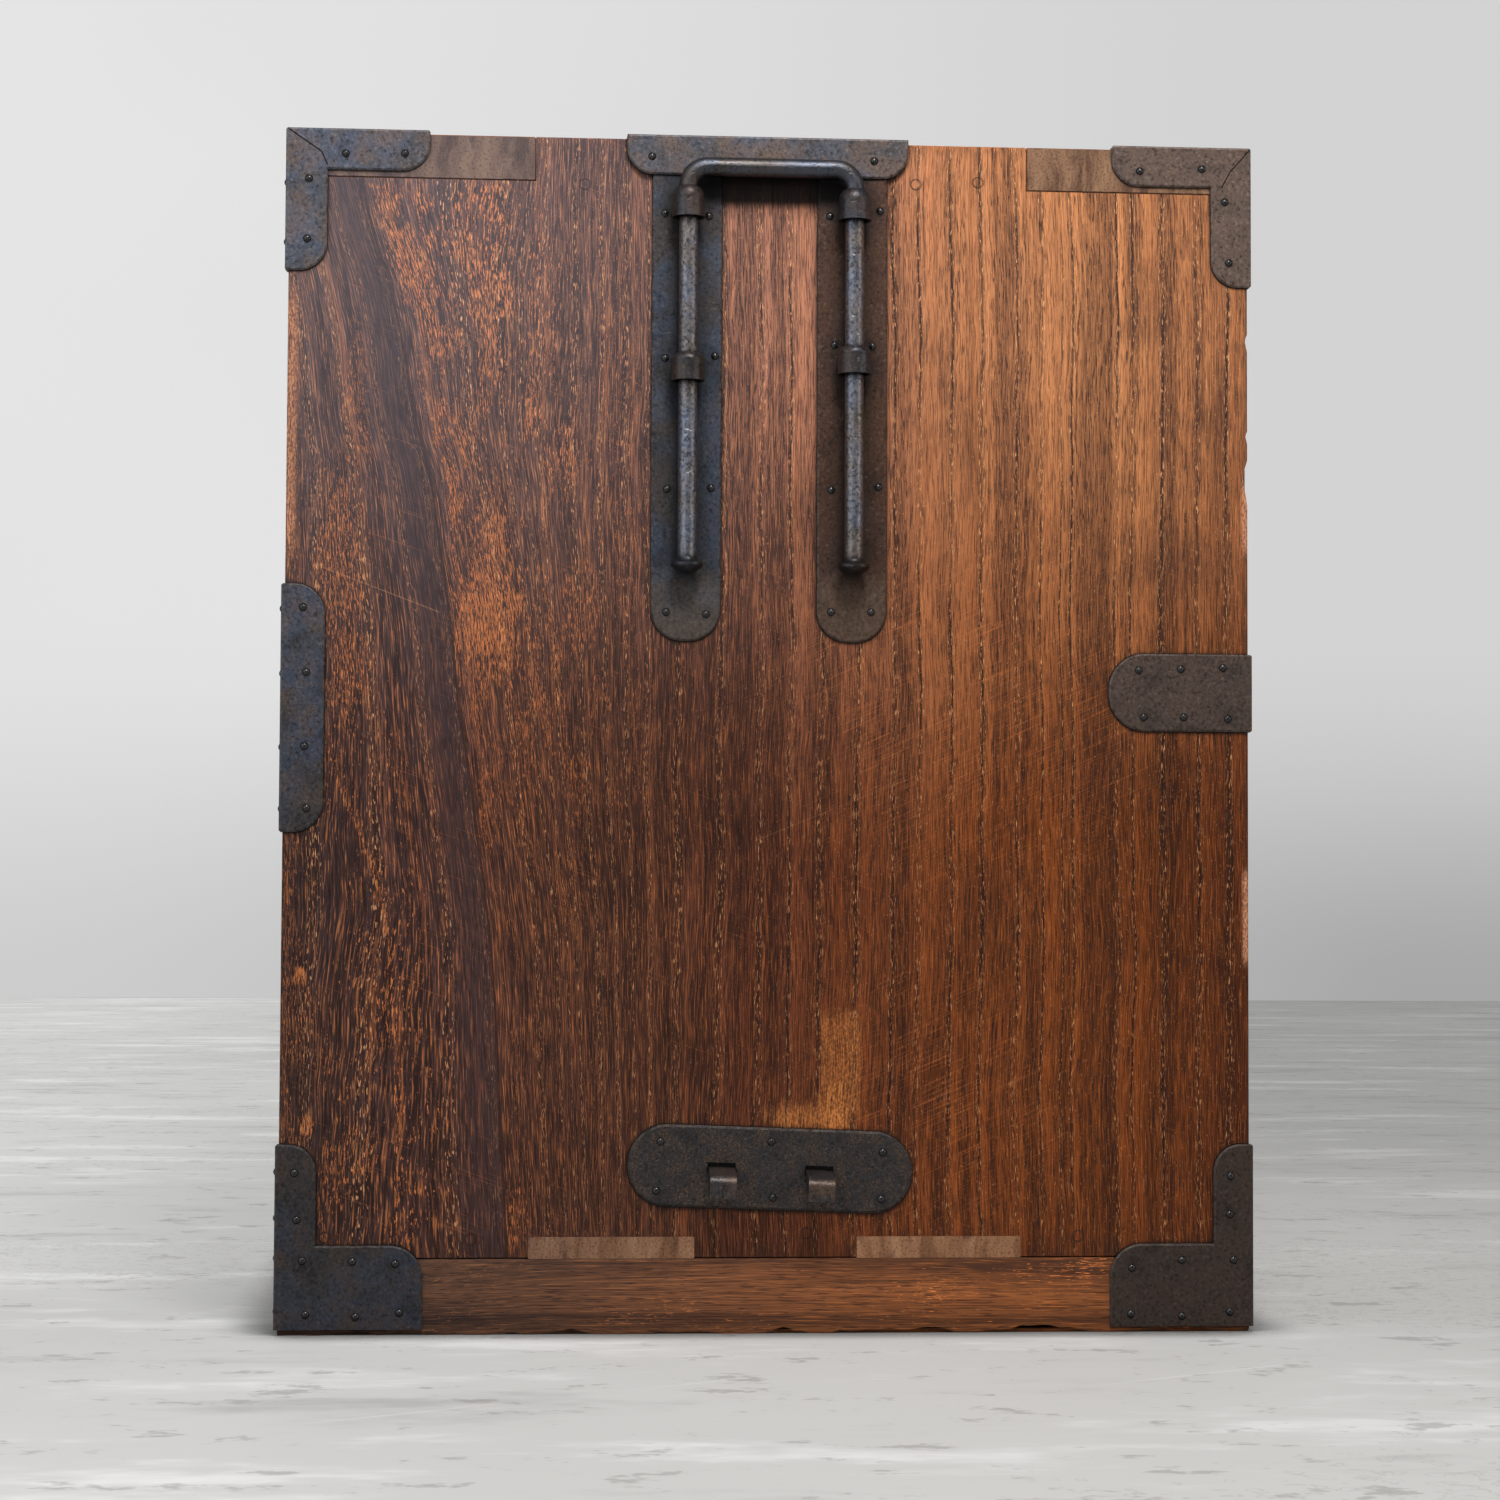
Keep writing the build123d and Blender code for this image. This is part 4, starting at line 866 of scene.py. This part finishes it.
class CHEST_OT_drawers(bpy.types.Operator):
    """Finish the drawers: figured lacquered fronts, plain insides"""
    bl_idname = "chest.drawers"
    bl_label = "Drawers"

    def execute(self, context):
        wood = context.scene.chest_wood
        for drawer, seed, figure in (("upper", 7.0, (-0.16, 0.425)), ("lower", 8.0, (0.19, 0.185))):
            front = board_wood(wood, f"{drawer}_front_wood", "X", (tint(84, 44, 28), wood.front), 0.25, seed,
                               coarse=0.5, gloss=0.10, figure=figure)
            assign(front, f"{drawer}_drawer_front")
        plain_x = board_wood(wood, "drawer_back_wood", "X", (tint(146, 114, 80), wood.inside), 0.15, 1.0)
        plain_y = board_wood(wood, "drawer_side_wood", "Y", (tint(146, 114, 80), wood.inside), 0.15, 2.0)
        for drawer in DRAWERS:
            assign(plain_x, f"{drawer}_drawer_back", f"{drawer}_drawer_bottom")
            assign(plain_y, *both_ends(f"{drawer}_drawer_side"))
        return {"FINISHED"}


class CHEST_OT_fittings(bpy.types.Operator):
    """Finish the plates, straps and nails"""
    bl_idname = "chest.fittings"
    bl_label = "Corner fittings, straps and nails"

    def execute(self, context):
        iron = context.scene.chest_iron
        # front and back plates are one iron tinted as painted light: bluer at the front under the cool window
        # light, browner at the back under the warm light; the strips turn from one to the other at the
        # handle's middle
        front = forged_iron(iron, "front_plate_iron", blue=0.58, rust=0.40, speckle=0.14, foot=True)
        back = forged_iron(iron, "back_plate_iron", blue=0.0, rust=0.6, speckle=0.15, foot=True,
                           warm_lit_back=tint(94, 77, 69))
        # the strips carry the painted shadow of the handle's bar
        strip = forged_iron(iron, "strip_iron", blue=0.75, rust=0.15, speckle=0.10, dark=0.38, foot=True,
                            bar_shadowed=True, spots=((0.340, 0.327, 0.30, tint(112, 97, 84)),),
                            warm_lit_back=tint(98, 61, 36), deep=0.0120)
        cross = forged_iron(iron, "cross_plate_iron", blue=0.35, rust=0.45, speckle=0.15, foot=True)
        mottled = forged_iron(iron, "hook_plate_iron", blue=0.08, rust=0.45, pits=1.0, scale=1.6, speckle=0.7,
                              foot=True)
        nail = forged_iron(iron, "nail_iron", blue=0.1, rust=0.1, pits=0.0, rough=-0.27, metallic=0.0,
                           speckle=0.0, dark=0.95, specular=0.42)
        assign(front, *both_ends("top_front_fitting", "foot_front_fitting", "front_strap"))
        assign(back, *both_ends("top_back_fitting", "foot_back_fitting", "back_strap"))
        assign(strip, *both_ends("handle_strips"))
        assign(cross, *both_ends("handle_cross_plate"))
        assign(mottled, *both_ends("hook_plate"))
        assign(nail, "fitting_nails")
        return {"FINISHED"}


class CHEST_OT_handles(bpy.types.Operator):
    """Finish the carrying handles, their collars and the hooks"""
    bl_idname = "chest.handles"
    bl_label = "Carrying handles and hooks"

    def execute(self, context):
        iron = context.scene.chest_iron
        dark_ends = (0.3440, 0.3410, 0.85, tint(12, 11, 12))
        dark_bar = (0.494, 0.508, 0.62, tint(16, 15, 16))
        rod = forged_iron(iron, "rod_iron", blue=1.0, rust=0.20, pits=1.0, rough=-0.10, metallic=0.9,
                          speckle=0.15, deep=0.0140, bright=0.34, spots=(dark_ends, dark_bar))
        collar = forged_iron(iron, "collar_iron", blue=0.2, rust=0.4, pits=0.9, rough=-0.10, metallic=0.7,
                             dark=0.55, deep=0.0080)
        hook = forged_iron(iron, "hook_iron", blue=0.1, rust=0.8, rough=-0.08, metallic=0.7, worn=0.08,
                           dark=0.42)
        assign(rod, *both_ends("carry_handle"))
        assign(collar, *both_ends("handle_collars"))
        assign(hook, *both_ends("hooks"))
        return {"FINISHED"}


class CHEST_OT_drawer_ironwork(bpy.types.Operator):
    """Finish the locks and bail handles"""
    bl_idname = "chest.drawer_ironwork"
    bl_label = "Locks and bail handles"

    def execute(self, context):
        iron = context.scene.chest_iron
        flat = forged_iron(iron, "lock_plate_iron", blue=0.3, rust=0.3)
        round_bar = forged_iron(iron, "bail_iron", blue=0.3, rust=0.2, pits=0.3, rough=-0.12, metallic=0.9)
        for drawer in DRAWERS:
            for part in ("lock_plate", "lock_case", "bail_roses"):
                assign(flat, f"{drawer}_{part}")
            for part in ("lock_bolt", "bail_posts", "bail_right", "bail_left"):
                assign(round_bar, f"{drawer}_{part}")
            self.nails(drawer, iron)
        return {"FINISHED"}

    def nails(self, drawer, iron):
        """Round-headed nails near the edge of a lock plate: one is shaped and the rest are copies."""
        low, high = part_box(f"{drawer}_lock_plate")
        middle = (low + high) / 2
        radius, proud = iron.nail_radius, iron.nail_radius * 0.6
        deselect()
        bpy.ops.mesh.primitive_uv_sphere_add(segments=16, ring_count=10, radius=radius)
        head = bpy.context.object
        mode("EDIT")
        pick("SELECT")
        bpy.ops.mesh.bisect(plane_co=(0.0, 0.0, 0.0), plane_no=(0.0, 1.0, 0.0), use_fill=True,
                            clear_outer=True)
        pick("SELECT")
        bpy.ops.mesh.normals_make_consistent(inside=False)
        mode("OBJECT")
        head.scale = (1.0, proud / radius, 1.0)
        bpy.ops.object.transform_apply(scale=True)
        bpy.ops.object.shade_smooth_by_angle(angle=math.radians(50))
        head.data.materials.append(bpy.data.materials["nail_iron"])
        reach_x, reach_z = (high.x - low.x) / 2 - NAIL_MARGIN, (high.z - low.z) / 2 - NAIL_MARGIN
        corner_x, corner_z = reach_x - NAIL_CORNER, reach_z - NAIL_CORNER
        places = [(x * corner_x, z * corner_z) for x in (-1, 1) for z in (-1, 1)]
        places += [(-reach_x, 0.0), (reach_x, 0.0), (0.0, reach_z), (0.0, -reach_z)]
        heads = [head]
        for _ in places[1:]:
            other = head.copy()
            other.data = head.data.copy()
            bpy.context.scene.collection.objects.link(other)
            heads.append(other)
        for one, (x, z) in zip(heads, places):
            one.location = (middle.x + x, low.y, middle.z + z)
        deselect()
        for one in heads:
            one.select_set(True)
        bpy.context.view_layer.objects.active = head
        bpy.ops.object.join()
        head.name = f"{drawer}_lock_plate_nails"
        head.data.name = head.name
        settle(head, f"{drawer}_drawer")


class CHEST_OT_studio(bpy.types.Operator):
    """Set the camera, the lamps, the floor and the backdrop"""
    bl_idname = "chest.studio"
    bl_label = "Studio"

    def execute(self, context):
        studio = context.scene.chest_studio
        scene = context.scene
        scene.view_settings.view_transform = "Standard"
        self.camera(scene, studio)
        self.lamps(scene, studio)
        self.surfaces(studio)
        return {"FINISHED"}

    def camera(self, scene, studio):
        data = bpy.data.cameras.new("camera")
        data.lens = studio.lens
        data.sensor_width = 36.0
        data.clip_end = 60.0
        camera = bpy.data.objects.new("camera", data)
        scene.collection.objects.link(camera)
        up = Vector((0, 0, 1))
        yaw = Matrix.Rotation(-studio.camera_yaw, 3, up)
        ahead = yaw @ Vector((-1, 0, 0))
        right = yaw @ Vector((0, 1, 0))
        pitch = Matrix.Rotation(studio.camera_pitch, 3, right)
        ahead = pitch @ ahead
        up = pitch @ up
        roll = Matrix.Rotation(studio.camera_roll, 3, ahead)
        right = roll @ right
        up = roll @ up
        turn = Matrix((right, up, -ahead)).transposed().to_4x4()
        camera.matrix_world = Matrix.Translation(Vector(studio.camera_place)) @ turn
        scene.camera = camera

    def lamps(self, scene, studio):
        world = bpy.data.worlds.new("studio_air")
        scene.world = world
        world.use_nodes = True
        air = world.node_tree.nodes["Background"].inputs
        air[0].default_value = (1.0, 1.0, 1.0, 1.0)
        air[1].default_value = studio.ambient
        spots = (("window_light", studio.key_power, (0.92, 0.96, 1.0), 2.2, (1.95, -1.7, 1.25)),
                 ("warm_light", studio.fill_power, (1.0, 0.90, 0.78), 1.4, (1.9, 2.4, 1.1)),
                 ("top_light", studio.top_power, (1.0, 0.98, 0.95), 0.40, (1.35, 0.10, 1.45)))
        for name, power, colour, size, place in spots:
            data = bpy.data.lights.new(name, "AREA")
            data.energy = power
            data.color = colour
            data.size = size
            lamp = bpy.data.objects.new(name, data)
            scene.collection.objects.link(lamp)
            aim = LAMP_AIM - Vector(place)
            turn = aim.to_track_quat("-Z", "Y").to_matrix().to_4x4()
            lamp.matrix_world = Matrix.Translation(Vector(place)) @ turn

    def surfaces(self, studio):
        floor_material = self.floor_finish(studio)
        wall_material = self.wall_finish(studio)
        deselect()
        bpy.ops.mesh.primitive_plane_add(size=1.0, location=(FLOOR_MIDDLE, 0.0, 0.0))
        floor = bpy.context.object
        floor.scale = (2 * (FLOOR_MIDDLE - studio.wall_place), STUDIO_WIDTH, 1.0)
        bpy.ops.mesh.primitive_plane_add(size=1.0, location=(studio.wall_place, 0.0, WALL_HEIGHT / 2),
                                         rotation=(0.0, math.radians(90), 0.0))
        wall = bpy.context.object
        wall.scale = (WALL_HEIGHT, STUDIO_WIDTH, 1.0)
        for piece, name, material in ((floor, "floor", floor_material), (wall, "backdrop", wall_material)):
            piece.name = name
            piece.data.materials.append(material)
            deselect()
            piece.select_set(True)
            bpy.context.view_layer.objects.active = piece
            bpy.ops.object.transform_apply()

    def floor_finish(self, studio):
        """Pale concrete, chipped and scuffed; what a camera sees of it is a little lighter, as painted light,
        more on the window's side and away from the camera.
        """
        s = Shader("pale_concrete")
        cloud = s.noise(s.place, (0.9, 0.9, 1), 4.0, 0.6)
        scuffs = s.noise(s.place, (7, 3, 1), 5.0, 0.7)
        chips = s.noise(s.place, (34, 22, 1), 4.0, 0.75)
        cracks = s.cells(s.stretch(s.shaken(0.3), (1.3, 0.9, 1)), 1.0, "DISTANCE_TO_EDGE")
        s.colour = studio.floor
        s.spread(tint(160, 160, 159), cloud, 0.35, 0.65, 0.6)
        s.spread(tint(192, 192, 192), scuffs, 0.52, 0.66, 0.65)
        s.spread(tint(138, 138, 137), scuffs, 0.46, 0.30, 0.7)
        s.spread(tint(118, 116, 114), chips, 0.58, 0.65, 0.5)
        scrapes = s.noise(s.turned(s.place, (0, 0, math.radians(35)), (90, 3, 1)), detail=2.0)
        s.spread(tint(206, 206, 206), scrapes, 0.70, 0.76, 0.22)
        s.spread(tint(134, 133, 132), cracks, 0.010, 0.002, 0.35)
        # painted contact shadow round the chest's foot
        s.lay(tint(52, 50, 49), s.grime_and_shade(0.030, 0.75, 0.97, 0.60))
        # painted light: the floor's glow to the camera, stronger on the window's side and away from the
        # camera
        seen = s.times(s.between(s.y, -0.7, 0.9, 1.92, 0.84), s.between(s.x, 0.46, 0.05, 0.43, 0.70))
        return s.finish(0.6, s.bump(chips, 0.001, strength=0.2), specular=0.2, seen_light=seen)

    def wall_finish(self, studio):
        """A pale backdrop, with painted shade: a little darker to one side and towards the floor."""
        s = Shader("plain_backdrop")
        cloud = s.noise(s.place, (0.35, 0.35, 0.35), 3.0)
        s.colour = studio.wall
        # painted shade: darker towards the back side, and low down near the floor
        s.spread(tint(210, 210, 210), s.y, -1.0, 2.2)
        low = s.times(s.between(s.z, 0.9, 0.0, 0.0, 1.0), s.between(s.y, -1.2, 1.6, 0.45, 0.95))
        s.lay(tint(162, 162, 162), low)
        s.spread(tint(214, 214, 214), cloud, 0.35, 0.65, 0.25)
        return s.finish(0.85, specular=0.1, seen_light=1.0)


STEPS = (CHEST_OT_studio, CHEST_OT_end_panels, CHEST_OT_boards, CHEST_OT_base_rails, CHEST_OT_drawers,
         CHEST_OT_fittings, CHEST_OT_handles, CHEST_OT_drawer_ironwork)


class CHEST_PT_sidebar(bpy.types.Panel):
    """Lists the steps that dress the chest"""
    bl_idname = "CHEST_PT_sidebar"
    bl_label = "Isho clothing chest"
    bl_space_type = "VIEW_3D"
    bl_region_type = "UI"
    bl_category = "Chest"

    def draw(self, context):
        for step in STEPS:
            self.layout.operator(step.bl_idname)
        for settings in (context.scene.chest_wood, context.scene.chest_iron, context.scene.chest_studio):
            for name in settings.__annotations__:
                self.layout.prop(settings, name)


CLASSES = (ChestWoodSettings, ChestIronSettings, ChestStudioSettings, *STEPS, CHEST_PT_sidebar)


def register():
    for cls in CLASSES:
        bpy.utils.register_class(cls)
    bpy.types.Scene.chest_wood = PointerProperty(type=ChestWoodSettings)
    bpy.types.Scene.chest_iron = PointerProperty(type=ChestIronSettings)
    bpy.types.Scene.chest_studio = PointerProperty(type=ChestStudioSettings)


def unregister():
    del bpy.types.Scene.chest_wood
    del bpy.types.Scene.chest_iron
    del bpy.types.Scene.chest_studio
    for cls in reversed(CLASSES):
        bpy.utils.unregister_class(cls)


def main():
    """Dresses the chest, step by step."""
    register()
    for step in STEPS:
        group, name = step.bl_idname.split(".")
        getattr(getattr(bpy.ops, group), name)()


if __name__ == "__main__":
    main()
